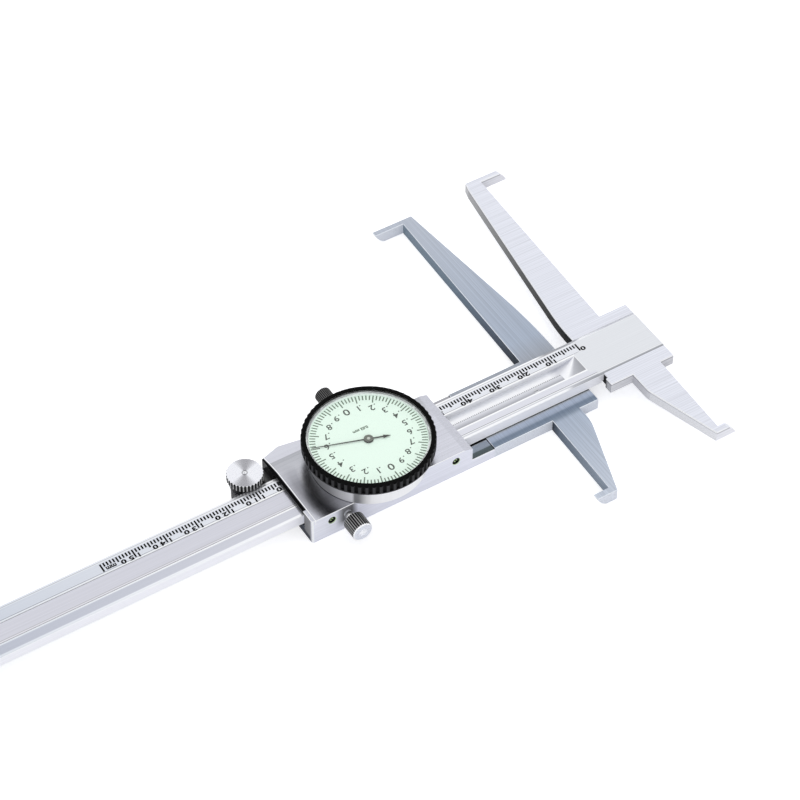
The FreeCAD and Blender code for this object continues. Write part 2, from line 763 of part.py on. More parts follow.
# Thumb roller on its bracket
def thumb_roller():
    bottom = roller_top - roller_rim_height
    step = math.pi / roller_knurls
    points = []
    for i in range(2 * roller_knurls):
        r = roller_radius if i % 2 == 0 else roller_radius - roller_knurl_depth
        points.append((roller_x + r * math.cos(i * step), roller_y + r * math.sin(i * step)))
    rim = prism(points, bottom, roller_top)
    hull = turned([(0, bottom), (roller_radius, bottom), (roller_radius, roller_top - head_rim / 2),
                   (roller_radius - head_rim / 2, roller_top), (0, roller_top)], roller_x, roller_y)
    rim = rim.common(hull)
    drum = rod(roller_x, roller_y, bottom - roller_drum_height, bottom, roller_drum_radius)
    dimple = Part.makeSphere(dimple_radius, V(roller_x, roller_y, roller_top + dimple_radius - dimple_depth))
    bore = rod(roller_x, roller_y, bottom - roller_drum_height - 1, roller_top - roller_floor,
               axle_radius + shaft_gap)
    return joined([rim, drum]).cut(bore).cut(dimple)


def bracket_arm_top():
    return roller_top - roller_rim_height - roller_drum_height - bracket_gap


def roller_axle():
    arm_top = bracket_arm_top()
    pin = rod(roller_x, roller_y, arm_top - bracket_arm_thickness, roller_top - roller_floor - 0.1,
              axle_radius)
    head = rod(roller_x, roller_y, arm_top - bracket_arm_thickness - axle_head,
               arm_top - bracket_arm_thickness, axle_radius + axle_head_width)
    return joined([pin, head])


def bracket_tongue():
    y0, y1 = bracket_tongue_y
    return box(slider_end_x - bracket_tongue_length, slider_end_x, y0, y1,
               bracket_arm_top() - bracket_arm_thickness, bracket_arm_top())


def roller_bracket():
    arm_top = bracket_arm_top()
    arm_bottom = arm_top - bracket_arm_thickness
    near_y = far_wall_y - slide_gap
    lug_y = lug_points[-1][1] + bracket_lug_inset
    outline = [(slider_end_x, near_y), (slider_end_x, lug_y), (bracket_end_x, bracket_far_y),
               (bracket_end_x, near_y)]
    arm = plate(outline, {2: bracket_corner_radius}, arm_bottom, arm_top)
    whole = joined([bracket_tongue(), arm])
    whole = whole.cut(rod(roller_x, roller_y, arm_bottom - 1, arm_top + 1, axle_radius))
    for x, y in bracket_screw_places():
        whole = whole.cut(bracket_screw(x, y))
    return whole


def bracket_screw_places():
    middle = slider_end_x - bracket_tongue_length / 2
    y = sum(bracket_tongue_y) / 2
    return [(middle + side * bracket_screw_spacing / 2, y) for side in (-1, 1)]


def bracket_screw(x, y):
    tip = bracket_arm_top() - bracket_arm_thickness + bracket_screw_reach
    return countersunk(x, y, plate_bottom, tip, bracket_screw_radius, bracket_screw_head_radius)


def bracket_screws():
    return Part.makeCompound([slotted_from_below(bracket_screw(x, y), x, y, plate_bottom,
                                                 bracket_screw_head_radius)
                              for x, y in bracket_screw_places()])


# Rack cover, a strip that the slider draws along the groove
def rivet_places():
    return [cover_start_x + rivet_inset, cover_start_x + rivet_inset + rivet_pitch]


def rivet_top():
    return -cover_drop + rivet_reach


def rack_cover():
    strip = box(cover_start_x, beam_end_x - cover_end_gap, -cover_half_width, cover_half_width,
                -cover_drop - cover_thickness, -cover_drop)
    for x in rivet_places():
        strip = strip.cut(rod(x, 0, -2, 1, rivet_radius))
    return strip


def cover_rivets():
    return Part.makeCompound([rod(x, 0, -cover_drop - cover_thickness, rivet_top(), rivet_radius)
                              for x in rivet_places()])


# End stop
def stop_screw_places():
    middle = stop_face_x + stop_length / 2
    return [(middle, beam_centre_y - stop_screw_row), (middle, beam_centre_y + stop_screw_row)]


def stop_screw_tip():
    return -beam_thickness - stop_thickness + stop_screw_length


def stop_screw(x, y):
    return countersunk(x, y, -beam_thickness - stop_thickness, stop_screw_tip(), stop_screw_radius,
                       stop_screw_head_radius)


def beam_end_stop():
    block = box(stop_face_x, stop_face_x + stop_length, beam_centre_y - stop_half_width,
                beam_centre_y + stop_half_width, -beam_thickness - stop_thickness, -beam_thickness)
    for x, y in stop_screw_places():
        block = block.cut(stop_screw(x, y))
    return block


def end_stop_screws():
    z = -beam_thickness - stop_thickness
    return Part.makeCompound([slotted_from_below(stop_screw(x, y), x, y, z, stop_screw_head_radius)
                              for x, y in stop_screw_places()])


# Dial housing
def around_dial(circle, angles):
    return [(dial_x + circle * math.cos(math.radians(a)), circle * math.sin(math.radians(a)))
            for a in angles]


def housing_screw_places():
    return around_dial(housing_inner - housing_screw_inset, housing_screw_angles)


def pillar_places():
    return around_dial(bridge_radius - pillar_inset, pillar_angles)


def dial_housing():
    foot_radius = housing_radius - foot_undercut
    cup = turned([(0, housing_bottom), (foot_radius, housing_bottom),
                  (foot_radius, housing_bottom + foot_undercut),
                  (housing_radius, housing_bottom + foot_undercut), (housing_radius, housing_top),
                  (housing_inner, housing_top), (housing_inner, floor_top), (0, floor_top)], dial_x, 0)
    boss = rod_y(dial_x, lock_z, lock_boss_end, -housing_radius + 0.5, lock_boss_radius)
    outside = rod(dial_x, 0, housing_bottom, housing_top, housing_radius - 0.5)
    whole = joined([cup, boss.cut(outside)])
    whole = whole.cut(rod_y(dial_x, lock_z, lock_boss_end - 1, -housing_inner + 1,
                            lock_thread_radius + shaft_gap))
    for x, y in ((drive_x, drive_y), (dial_x, 0)):
        whole = whole.cut(rod(x, y, housing_bottom - 1, floor_top + 1, bush_radius))
    for x, y in housing_screw_places():
        whole = whole.cut(rod(x, y, housing_bottom - 1, floor_top + 1, housing_screw_radius))
    return whole


def housing_screws():
    screws = []
    for x, y in housing_screw_places():
        shank = rod(x, y, floor_top - housing_screw_reach, floor_top, housing_screw_radius)
        head = rod(x, y, floor_top, floor_top + housing_screw_head, housing_screw_head_radius)
        slot = box(x - 2, x + 2, y - 0.15, y + 0.15, floor_top + housing_screw_head / 2, floor_top + 2)
        screws.append(joined([shank, head]).cut(slot))
    return Part.makeCompound(screws)


# Gear train
def drive_arbor():
    bottom = pinion_bottom
    shaft = rod(drive_x, drive_y, bottom, bridge_z + bridge_thickness, drive_shaft_radius)
    # a tooth gap faces the rack tooth that stands beside the arbor in the drawn position
    along = (drive_x - rack_start_x) / rack_pitch - 0.5
    shift = (along - math.floor(along)) * rack_pitch / pinion_pitch_radius
    gap = math.pi / pinion_teeth
    pinion = ring_of_teeth(drive_x, drive_y, bottom, bottom + pinion_height, pinion_pitch_radius,
                           pinion_teeth, pinion_tooth_height, tooth_tip_share, tooth_root_share,
                           math.pi / 2 + shift + gap)
    hub = rod(drive_x, drive_y, gear_z - 0.5, gear_z, gear_hub_radius)
    return joined([shaft, pinion, hub])


def train_angle():
    return math.atan2(-drive_y, dial_x - drive_x)


def toothed_wheel(z0):
    wheel = ring_of_teeth(drive_x, drive_y, z0, z0 + gear_height, gear_module * gear_teeth / 2,
                          gear_teeth, gear_tooth_height, tooth_tip_share, tooth_root_share,
                          train_angle())
    return wheel.cut(rod(drive_x, drive_y, z0 - 1, z0 + gear_height + 1, drive_shaft_radius))


def spring_post_places():
    angle = math.radians(spring_gap_angle / 2)
    return [(drive_x - spring_radius * math.cos(angle), drive_y + side * spring_radius * math.sin(angle))
            for side in (-1, 1)]


def drive_gear():
    wheel = toothed_wheel(gear_z)
    x, y = spring_post_places()[0]
    post = rod(x, y, gear_z, upper_gear_z() + gear_height + spring_wire, spring_post_radius)
    return joined([wheel, post])


def upper_gear_z():
    return gear_z + gear_height + gear_split


def backlash_gear():
    z0 = upper_gear_z()
    wheel = toothed_wheel(z0)
    x, y = spring_post_places()[0]
    wheel = wheel.cut(rod(x, y, z0 - 1, z0 + gear_height + 1, spring_post_radius * 2))
    x, y = spring_post_places()[1]
    post = rod(x, y, z0, z0 + gear_height + spring_wire, spring_post_radius)
    return joined([wheel, post])


def backlash_spring():
    z0 = upper_gear_z() + gear_height
    ring = tube(drive_x, drive_y, z0, z0 + spring_wire, spring_radius + spring_wire / 2,
                spring_radius - spring_wire / 2)
    for x, y in spring_post_places():
        ring = ring.cut(rod(x, y, z0 - 1, z0 + 2, spring_post_radius))
    half = math.tan(math.radians(spring_gap_angle / 2)) * spring_radius
    gap = prism([(drive_x, drive_y), (drive_x - spring_radius * 1.5, drive_y - half * 1.5),
                 (drive_x - spring_radius * 1.5, drive_y + half * 1.5)], z0 - 1, z0 + 1)
    return ring.cut(gap)


def gear_collar():
    z0 = upper_gear_z() + gear_height
    return tube(drive_x, drive_y, z0, bridge_z - 0.1, gear_hub_radius * 0.75, drive_shaft_radius)


def centre_arbor():
    shaft = rod(dial_x, 0, housing_bottom + 0.1, pointer_z + pointer_thickness, centre_shaft_radius)
    reach = 2 * gear_height + gear_split
    facing = train_angle() + math.pi + math.pi / centre_teeth
    pinion = ring_of_teeth(dial_x, 0, gear_z - 0.2, gear_z + reach + 0.2, gear_module * centre_teeth / 2,
                           centre_teeth, gear_tooth_height, tooth_tip_share, tooth_root_share, facing)
    return joined([shaft, pinion])


def arbor_bushes():
    bushes = []
    for x, y, radius in ((drive_x, drive_y, drive_shaft_radius), (dial_x, 0, centre_shaft_radius)):
        bushes.append(tube(x, y, housing_bottom, floor_top, bush_radius, radius + shaft_gap))
        bushes.append(tube(x, y, bridge_z, bridge_z + bridge_thickness, bush_radius, radius + shaft_gap))
    return Part.makeCompound(bushes)


# Bridge, pillars and their screws
def movement_bridge():
    disc = rod(dial_x, 0, bridge_z, bridge_z + bridge_thickness, bridge_radius)
    window = box(dial_x + bridge_window_x, dial_x + bridge_radius, bridge_window_y, bridge_radius,
                 bridge_z - 1, bridge_z + bridge_thickness + 1)
    disc = disc.cut(window).cut(window.mirror(V(0, 0, 0), Y_AXIS))
    for x, y in ((drive_x, drive_y), (dial_x, 0)):
        disc = disc.cut(rod(x, y, bridge_z - 1, bridge_z + 2, bush_radius))
    for x, y in pillar_places():
        disc = disc.cut(rod(x, y, bridge_z - 1, bridge_z + 2, bridge_screw_radius))
    return disc


def bridge_pillars():
    return Part.makeCompound([rod(x, y, floor_top, bridge_z, pillar_radius)
                              .cut(rod(x, y, bridge_screw_tip(), bridge_z + 1, bridge_screw_radius))
                              for x, y in pillar_places()])


def bridge_screw_tip():
    return bridge_z - bridge_screw_reach


def bridge_screws():
    screws = []
    top = bridge_z + bridge_thickness
    for x, y in pillar_places():
        shank = rod(x, y, bridge_screw_tip(), top, bridge_screw_radius)
        head = rod(x, y, top, top + bridge_screw_head, bridge_screw_head_radius)
        slot = box(x - 2, x + 2, y - 0.12, y + 0.12, top + bridge_screw_head / 2, top + 1)
        screws.append(joined([shank, head]).cut(slot))
    return Part.makeCompound(screws)


# Dial face, spacer ring, crystal and bezel, which turn together
def dial_face():
    return tube(dial_x, 0, face_bottom, face_top, bezel_bore - seat_gap, pointer_hub_radius)


def spacer_ring():
    outer = bezel_bore - seat_gap
    return tube(dial_x, 0, face_top, crystal_bottom, outer, outer - spacer_width)


def crystal():
    outer = bezel_bore - seat_gap
    top = crystal_bottom + crystal_thickness
    return turned([(0, crystal_bottom), (outer, crystal_bottom), (outer, top - crystal_chamfer),
                   (outer - crystal_chamfer, top), (0, top)], dial_x, 0)


def bezel():
    skirt = housing_radius + turn_gap
    ring = turned([(skirt, bezel_bottom), (bezel_radius, bezel_bottom),
                   (bezel_radius, bezel_top - bezel_top_slope), (bezel_radius - bezel_top_slope, bezel_top),
                   (bezel_bore, bezel_top), (bezel_bore, face_bottom), (skirt, face_bottom)], dial_x, 0)
    scallops = []
    centre = bezel_radius + scallop_radius - scallop_depth
    for i in range(bezel_scallops):
        angle = 2 * math.pi * i / bezel_scallops
        scallops.append(rod(dial_x + centre * math.cos(angle), centre * math.sin(angle),
                            bezel_bottom + scallop_stop, bezel_top + 1, scallop_radius))
    return ring.cut(Part.makeCompound(scallops))


# Pointer, fixed on the centre arbor
def pointer():
    half_root = pointer_root_width / 2
    half_tip = pointer_tip_width / 2
    neck = -pointer_tail + pointer_head_length
    points = [(neck, -half_root * 0.6), (pointer_reach, -half_tip), (pointer_reach, half_tip),
              (neck, half_root * 0.6), (neck, pointer_head_width / 2), (-pointer_tail, 0),
              (neck, -pointer_head_width / 2)]
    hand = prism(points, pointer_z, pointer_z + pointer_thickness)
    hub = rod(0, 0, pointer_z - pointer_clearance / 2, pointer_z + pointer_hub_height,
              pointer_hub_radius - 0.1)
    whole = joined([hand, hub])
    bore = rod(0, 0, pointer_z - 1, pointer_z + pointer_thickness, centre_shaft_radius)
    whole = whole.cut(bore)
    whole.rotate(V(0, 0, 0), Z_AXIS, pointer_angle)
    whole.translate(V(dial_x, 0, 0))
    return whole


nodes = [beam, fixed_jaw, fixed_jaw_screws, rack, rack_screws, beam_end_stop, end_stop_screws,
         slider_frame, moving_jaw, jaw_plate_screws, gib_strip, gib_screws, rack_cover, cover_rivets,
         clamp_screw, thumb_roller, roller_bracket, roller_axle, bracket_screws,
         dial_housing, housing_screws, drive_arbor, drive_gear, backlash_gear, backlash_spring,
         gear_collar, centre_arbor, arbor_bushes, movement_bridge, bridge_pillars, bridge_screws,
         dial_face, spacer_ring, crystal, bezel, bezel_lock_screw, pointer]

os.makedirs("parts", exist_ok=True)
for node in nodes:
    shape = node()
    if not shape.isValid():
        print("not valid:", node.__name__)
    print(f"{node.__name__:20s} solids {len(shape.Solids)}  volume {shape.Volume:9.2f}")
    shape.exportStep(f"parts/{node.__name__}.step")
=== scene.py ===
import math
import bpy
from mathutils import Matrix, Vector


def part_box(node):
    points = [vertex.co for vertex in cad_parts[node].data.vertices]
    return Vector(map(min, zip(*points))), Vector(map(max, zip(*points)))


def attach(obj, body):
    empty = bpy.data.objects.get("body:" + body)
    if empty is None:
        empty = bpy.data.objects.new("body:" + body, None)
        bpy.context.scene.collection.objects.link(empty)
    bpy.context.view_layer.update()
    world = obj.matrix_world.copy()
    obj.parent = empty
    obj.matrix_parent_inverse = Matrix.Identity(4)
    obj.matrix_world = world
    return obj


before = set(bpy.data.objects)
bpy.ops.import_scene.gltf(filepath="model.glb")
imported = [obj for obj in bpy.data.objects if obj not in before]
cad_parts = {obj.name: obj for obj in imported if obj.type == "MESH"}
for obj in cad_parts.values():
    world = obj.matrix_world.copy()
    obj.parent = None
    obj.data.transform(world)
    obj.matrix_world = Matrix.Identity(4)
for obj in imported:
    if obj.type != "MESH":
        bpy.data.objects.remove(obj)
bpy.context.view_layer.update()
MM = 0.001


# The photographer's table: a white sweep with one large soft panel behind the caliper and one
# in front. The camera stands high on the side of the short jaws, with a long lens.
camera_place = Vector((0.3427379, 0.4396277, 0.5898355))
camera_right = Vector((-0.8480337, 0.5299342, 0.0029299))
camera_forward = Vector((-0.3588657, -0.5701934, -0.7389823))
camera_down = camera_forward.cross(camera_right)
lens_mm = 122.493

bpy.ops.object.select_all(action="DESELECT")
bpy.ops.object.camera_add()
camera = bpy.context.active_object
turn = Matrix((camera_right, -camera_down, -camera_forward)).transposed()
camera.matrix_world = Matrix.Translation(camera_place) @ turn.to_4x4()
camera.data.lens = lens_mm
camera.data.sensor_width = 36.0
camera.data.clip_end = 10.0
bpy.context.scene.camera = camera
bpy.context.scene.view_settings.view_transform = "Standard"


def soft_panel(name, place, target, width, power, tint):
    bpy.ops.object.light_add(type="AREA", location=place)
    lamp = bpy.context.active_object
    lamp.name = name
    lamp.data.shape = "SQUARE"
    lamp.data.size = width
    lamp.data.energy = power
    lamp.data.color = tint
    lamp.visible_glossy = False
    lamp.rotation_euler = (Vector(target) - Vector(place)).to_track_quat("-Z", "Y").to_euler()


beam_middle = (0.05, 0.0, 0.0)
soft_panel("panel_behind", (-0.45, -0.62, 0.85), beam_middle, width=1.2, power=6.4,
           tint=(1.0, 0.995, 0.985))
soft_panel("panel_front", (0.4, 1.0, 0.45), beam_middle, width=0.7, power=3.4,
           tint=(0.97, 0.98, 1.0))


def shown_directly(nodes, to_camera, to_mirror):
    """A strength for rays from the camera, and one for rays from a mirror or a window."""
    path = nodes.new("ShaderNodeLightPath")
    links = path.id_data.links
    total = None
    for ray, strength in (("Is Camera Ray", to_camera), ("Is Glossy Ray", to_mirror),
                          ("Is Transmission Ray", to_mirror)):
        added = nodes.new("ShaderNodeMath")
        added.operation = "MULTIPLY_ADD"
        added.inputs[1].default_value = strength
        added.inputs[2].default_value = 0.0
        links.new(path.outputs[ray], added.inputs[0])
        if total is not None:
            links.new(total, added.inputs[2])
        total = added.outputs[0]
    return total


world = bpy.data.worlds.new("white_sweep")
bpy.context.scene.world = world
world.use_nodes = True
world.node_tree.nodes.clear()
seen = world.node_tree.nodes.new("ShaderNodeBackground")
seen.inputs["Color"].default_value = (1.0, 1.0, 1.0, 1.0)
seen.inputs["Strength"].default_value = 1.0
room = world.node_tree.nodes.new("ShaderNodeBackground")
room.inputs["Color"].default_value = (0.97, 0.98, 1.0, 1.0)
room.inputs["Strength"].default_value = 0.68
blend = world.node_tree.nodes.new("ShaderNodeMixShader")
out = world.node_tree.nodes.new("ShaderNodeOutputWorld")
white_seen = shown_directly(world.node_tree.nodes, to_camera=1.0, to_mirror=1.0)
world.node_tree.links.new(white_seen, blend.inputs[0])
world.node_tree.links.new(room.outputs[0], blend.inputs[1])
world.node_tree.links.new(seen.outputs[0], blend.inputs[2])
world.node_tree.links.new(blend.outputs[0], out.inputs["Surface"])

floor_gap = 0.02 * MM
lowest = min(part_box(node)[0].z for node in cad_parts)
bpy.ops.mesh.primitive_plane_add(size=6.0, location=(beam_middle[0], beam_middle[1], lowest - floor_gap))
floor = bpy.context.active_object
floor.name = "floor"
paper = bpy.data.materials.new("white_paper")
paper.use_nodes = True
paper_nodes = paper.node_tree.nodes
paper_links = paper.node_tree.links
matt = paper_nodes["Principled BSDF"]
matt.inputs["Base Color"].default_value = (0.80, 0.80, 0.81, 1.0)
matt.inputs["Roughness"].default_value = 0.9
glow = paper_nodes.new("ShaderNodeEmission")
glow.inputs["Color"].default_value = (1.0, 1.0, 1.0, 1.0)
glow_seen = shown_directly(paper_nodes, to_camera=0.55, to_mirror=0.2)
paper_links.new(glow_seen, glow.inputs["Strength"])
both = paper_nodes.new("ShaderNodeAddShader")
paper_links.new(matt.outputs[0], both.inputs[0])
paper_links.new(glow.outputs[0], both.inputs[1])
paper_links.new(both.outputs[0], paper_nodes["Material Output"].inputs["Surface"])
floor.data.materials.append(paper)


# Beam: a bar of stainless steel, 16 by 3.8 mm, ground lengthwise. Its groove is milled, and its upper
# edges are bevelled wide; each strip along it is painted the grey light gives it, with painted highlights
# and shade.
def put(tree, socket, value):
    """Gives a socket a number or a colour, or links it to the node that works it out."""
    if isinstance(value, bpy.types.NodeSocket):
        tree.links.new(value, socket)
    elif isinstance(value, tuple):
        socket.default_value = (*value, 1.0)
    else:
        socket.default_value = value


def worked(tree, operation, first, second=0.0):
    node = tree.nodes.new("ShaderNodeMath")
    node.operation = operation
    put(tree, node.inputs[0], first)
    put(tree, node.inputs[1], second)
    return node.outputs[0]


def share(tree, value, low, high, at_low=0.0, at_high=1.0):
    """0 where the value is low and 1 where it is high, or two other numbers."""
    node = tree.nodes.new("ShaderNodeMapRange")
    node.inputs["From Min"].default_value = low
    node.inputs["From Max"].default_value = high
    node.inputs["To Min"].default_value = at_low
    node.inputs["To Max"].default_value = at_high
    put(tree, node.inputs["Value"], value)
    return node.outputs[0]


def between(tree, value, low, high, soft=0.05):
    """1 between two values, fading out over a soft edge."""
    rise = share(tree, value, low - soft, low + soft)
    return worked(tree, "MULTIPLY", rise, share(tree, value, high + soft, high - soft))


def blended(tree, amount, below, above):
    mix = tree.nodes.new("ShaderNodeMix")
    mix.data_type = "RGBA"
    put(tree, mix.inputs[0], amount)
    put(tree, mix.inputs[6], below)
    put(tree, mix.inputs[7], above)
    return mix.outputs[2]


def multiplied(tree, first, second):
    mix = tree.nodes.new("ShaderNodeMix")
    mix.data_type = "RGBA"
    mix.blend_type = "MULTIPLY"
    put(tree, mix.inputs[0], 1.0)
    put(tree, mix.inputs[6], first)
    put(tree, mix.inputs[7], second)
    return mix.outputs[2]


def along(tree, value, marks):
    """Colours along a value, from marks of value and colour."""
    low, high = marks[0][0], marks[-1][0]
    ramp = tree.nodes.new("ShaderNodeValToRGB")
    elements = ramp.color_ramp.elements
    elements[0].color = (*marks[0][1], 1.0)
    elements[1].color = (*marks[-1][1], 1.0)
    for mark, colour in marks[1:-1]:
        elements.new((mark - low) / (high - low)).color = (*colour, 1.0)
    put(tree, ramp.inputs[0], share(tree, value, low, high))
    return ramp.outputs[0]


def place_in_mm(tree):
    """X, Y and Z of the surface's own place, in millimetres."""
    own = tree.nodes.new("ShaderNodeTexCoord")
    in_mm = tree.nodes.new("ShaderNodeVectorMath")
    in_mm.operation = "SCALE"
    in_mm.inputs["Scale"].default_value = 1 / MM
    tree.links.new(own.outputs["Object"], in_mm.inputs[0])
    axes = tree.nodes.new("ShaderNodeSeparateXYZ")
    tree.links.new(in_mm.outputs[0], axes.inputs[0])
    return axes.outputs["X"], axes.outputs["Y"], axes.outputs["Z"]


def facing(tree):
    """How far the surface faces along X, Y and Z, whichever way round."""
    own = tree.nodes.new("ShaderNodeTexCoord")
    size = tree.nodes.new("ShaderNodeVectorMath")
    size.operation = "ABSOLUTE"
    tree.links.new(own.outputs["Normal"], size.inputs[0])
    axes = tree.nodes.new("ShaderNodeSeparateXYZ")
    tree.links.new(size.outputs[0], axes.inputs[0])
    return axes.outputs["X"], axes.outputs["Y"], axes.outputs["Z"]


def toward_tail(tree):
    """1 on faces towards the beam's tail, 0 on faces towards its head."""
    own = tree.nodes.new("ShaderNodeTexCoord")
    axes = tree.nodes.new("ShaderNodeSeparateXYZ")
    tree.links.new(own.outputs["Normal"], axes.inputs[0])
    return share(tree, axes.outputs["X"], -0.05, 0.05)


def by_facing(tree, top, side, end, edge):
    """One colour for level faces, one for faces along the beam, one across it, one for bevels: light and
    shade painted by which way a face looks.
    """
    to_x, to_y, to_z = facing(tree)
    colour = blended(tree, share(tree, to_y, 0.45, 0.85), top, side)
    colour = blended(tree, share(tree, to_x, 0.45, 0.85), colour, end)
    level_bevel = between(tree, to_z, 0.6, 0.82, 0.03)
    upright_bevel = share(tree, worked(tree, "MULTIPLY", to_x, to_y), 0.2, 0.4)
    return blended(tree, worked(tree, "MAXIMUM", level_bevel, upright_bevel), colour, edge)


def ground_lines(tree, stretch_axis):
    """Fine lines along one axis, as a grinding wheel leaves them."""
    own = tree.nodes.new("ShaderNodeTexCoord")
    stretch = tree.nodes.new("ShaderNodeMapping")
    fine, long = 3600.0, 12.0
    stretch.inputs["Scale"].default_value = [long if axis == stretch_axis else fine for axis in "XYZ"]
    tree.links.new(own.outputs["Object"], stretch.inputs["Vector"])
    lines = tree.nodes.new("ShaderNodeTexNoise")
    lines.inputs["Scale"].default_value = 1.0
    lines.inputs["Detail"].default_value = 3.0
    tree.links.new(stretch.outputs[0], lines.inputs["Vector"])
    return lines.outputs["Fac"]


def new_finish(name, metal, gloss=0.5):
    material = bpy.data.materials.new(name)
    material.use_nodes = True
    shader = material.node_tree.nodes["Principled BSDF"]
    shader.inputs["Metallic"].default_value = metal
    shader.inputs["Specular IOR Level"].default_value = gloss
    return material


def grind(material, colour, stretch_axis, grain, roughness, side_metal=0.3, dent=0.1):
    """Works grinding lines into a steel's colour, gloss and relief. Upright faces are more matt."""
    tree = material.node_tree
    shader = tree.nodes["Principled BSDF"]
    metal = shader.inputs["Metallic"].default_value
    put(tree, shader.inputs["Metallic"], share(tree, facing(tree)[2], 0.8, 0.4, metal, side_metal))
    lines = ground_lines(tree, stretch_axis)
    lined = tree.nodes.new("ShaderNodeVectorMath")
    lined.operation = "SCALE"
    put(tree, lined.inputs[0], colour)
    put(tree, lined.inputs["Scale"], share(tree, lines, 0.3, 0.7, 1.0 - grain, 1.0 + grain * 0.4))
    put(tree, shader.inputs["Base Color"], lined.outputs[0])
    shine = share(tree, lines, 0.0, 1.0, roughness - 0.05, roughness + 0.05)
    put(tree, shader.inputs["Roughness"], shine)
    dents = tree.nodes.new("ShaderNodeBump")
    dents.inputs["Strength"].default_value = dent
    dents.inputs["Distance"].default_value = 0.00002
    tree.links.new(lines, dents.inputs["Height"])
    tree.links.new(dents.outputs[0], shader.inputs["Normal"])


def dress(node, material):
    """Puts a material on every slot of a CAD node."""
    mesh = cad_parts[node].data
    if not mesh.materials:
        mesh.materials.append(material)
    for index in range(len(mesh.materials)):
        mesh.materials[index] = material


groove_start_x = 2.7
groove_edge_y = 3.4
# Painted highlight: the white painted along lit edges, bevels and chamfers.
highlight_white = (0.97, 0.98, 1.0)
# Painted shade: dark lines at the groove's far edge and where the beam's bevels turn.
shade_line = (0.34, 0.35, 0.38)
beam_top = (0.80, 0.82, 0.875)
near_top = (0.74, 0.75, 0.82)
tail_top = (0.655, 0.665, 0.735)
far_bevel_shade = (0.56, 0.565, 0.605)
near_bevel_shade = (0.64, 0.66, 0.71)
near_edge = (0.72, 0.74, 0.79)
head_plain = (0.77, 0.79, 0.83)
head_line = (0.60, 0.61, 0.64)
groove_floor = (0.96, 0.97, 1.0)
beam_side = (0.93, 0.93, 0.98)
beam_end = (0.62, 0.64, 0.68)

beam_steel = new_finish("beam_steel", metal=0.9, gloss=0.2)
tree = beam_steel.node_tree
x, y, z = place_in_mm(tree)
# Across the top: painted shade on the bevels, painted highlights along the edges, and shade lines.
far_strip = along(tree, y, [(-8.7, far_bevel_shade), (-7.72, far_bevel_shade), (-7.64, highlight_white),
                            (-7.48, highlight_white), (-7.4, beam_top), (-4.02, beam_top),
                            (-3.95, shade_line), (-3.85, shade_line), (-3.75, highlight_white)])
near_strip = along(tree, y, [(3.7, highlight_white), (3.9, near_top), (5.75, near_top), (5.8, shade_line),
                             (5.95, shade_line), (6.05, highlight_white), (6.2, highlight_white),
                             (6.3, near_bevel_shade), (6.55, near_bevel_shade), (6.6, shade_line),
                             (6.72, shade_line), (6.8, near_edge), (7.1, near_edge),
                             (7.2, highlight_white), (7.3, highlight_white)])
tail_strip = along(tree, y, [(3.7, highlight_white), (3.9, tail_top), (7.0, tail_top), (7.1, highlight_white)])
near_strip = blended(tree, share(tree, x, 95.0, 100.0), near_strip, tail_strip)
top = blended(tree, share(tree, y, -0.1, 0.1), far_strip, near_strip)
head = along(tree, y, [(-8.1, head_plain), (-8.0, head_line), (-7.85, highlight_white), (-7.7, head_plain),
                       (6.0, head_plain), (6.1, head_line), (6.25, highlight_white), (6.4, head_plain),
                       (7.1, head_plain), (7.2, highlight_white), (7.3, highlight_white)])
before_groove = share(tree, x, groove_start_x + 0.1, groove_start_x - 0.1)
before_groove = worked(tree, "MULTIPLY", before_groove, share(tree, y, -3.9, -3.8))
before_groove = worked(tree, "MULTIPLY", before_groove, share(tree, y, 5.0, 4.8))
top = blended(tree, before_groove, top, head_plain)
top = blended(tree, share(tree, x, 1.2, 0.4), top, head)
# The groove's run-out is painted darker where the cutter's curve is steep and lighter as it flattens, with
# a painted highlight band.
from_start = worked(tree, "SUBTRACT", x, groove_start_x)
fan = worked(tree, "DIVIDE", from_start, worked(tree, "ADD", y, groove_edge_y))
run_out_shading = along(tree, fan, [(0.0, (0.36, 0.37, 0.40)), (0.7, (0.52, 0.53, 0.57)),
                            (0.92, (0.74, 0.75, 0.80)), (1.1, highlight_white),
                            (1.6, (0.92, 0.93, 0.97)), (3.0, (0.70, 0.71, 0.76))])
groove = blended(tree, share(tree, x, 10.0, 13.0), run_out_shading, groove_floor)
top = blended(tree, share(tree, z, -0.05, -0.12), top, groove)
fade = along(tree, x, [(105.0, (1.0, 1.0, 1.0)), (200.0, (0.78, 0.81, 0.85))])
top = multiplied(tree, top, fade)
# Painted highlights along the side's upper and lower edges; the groove's walls painted darker towards the
# bottom, as shade.
side_highlights = worked(tree, "MAXIMUM", share(tree, z, -0.5, -0.4), share(tree, z, -3.45, -3.6))
side = blended(tree, side_highlights, beam_side, highlight_white)
wall = along(tree, z, [(-1.8, (0.72, 0.73, 0.77)), (-0.3, (0.84, 0.85, 0.89)), (0.0, highlight_white)])
side = blended(tree, share(tree, worked(tree, "ABSOLUTE", y), 5.0, 4.0), side, wall)
grind(beam_steel, by_facing(tree, top, side, beam_end, top), "X",
      grain=0.05, roughness=0.3, side_metal=0.1)
dress("beam", beam_steel)


# Printed millimetre scale: black ink filled into fine engraved lines and digits along the
# beam's far edge, every millimetre to 160, with longer lines at the fives and the tens.
ink_bottom = 0.002 * MM
ink_top = 0.012 * MM
tick_width = 0.52 * MM
tick_foot_y = -7.05 * MM
tick_head_y = -5.65 * MM
five_head_y = -5.1 * MM
ten_head_y = -4.1 * MM
digit_height = 1.62 * MM
digit_centre_y = -4.45 * MM
digit_steps = (-1.1 * MM, 1.3 * MM, 3.75 * MM)
digit_widths = {"1": 1.25}
plain_digit_width = 1.5
zero_x = -1.2 * MM
zero_width = 1.55
last_number = 150
tick_count = 161
unit_x = 157.5 * MM
unit_y = -4.85 * MM
unit_height = 1.15 * MM

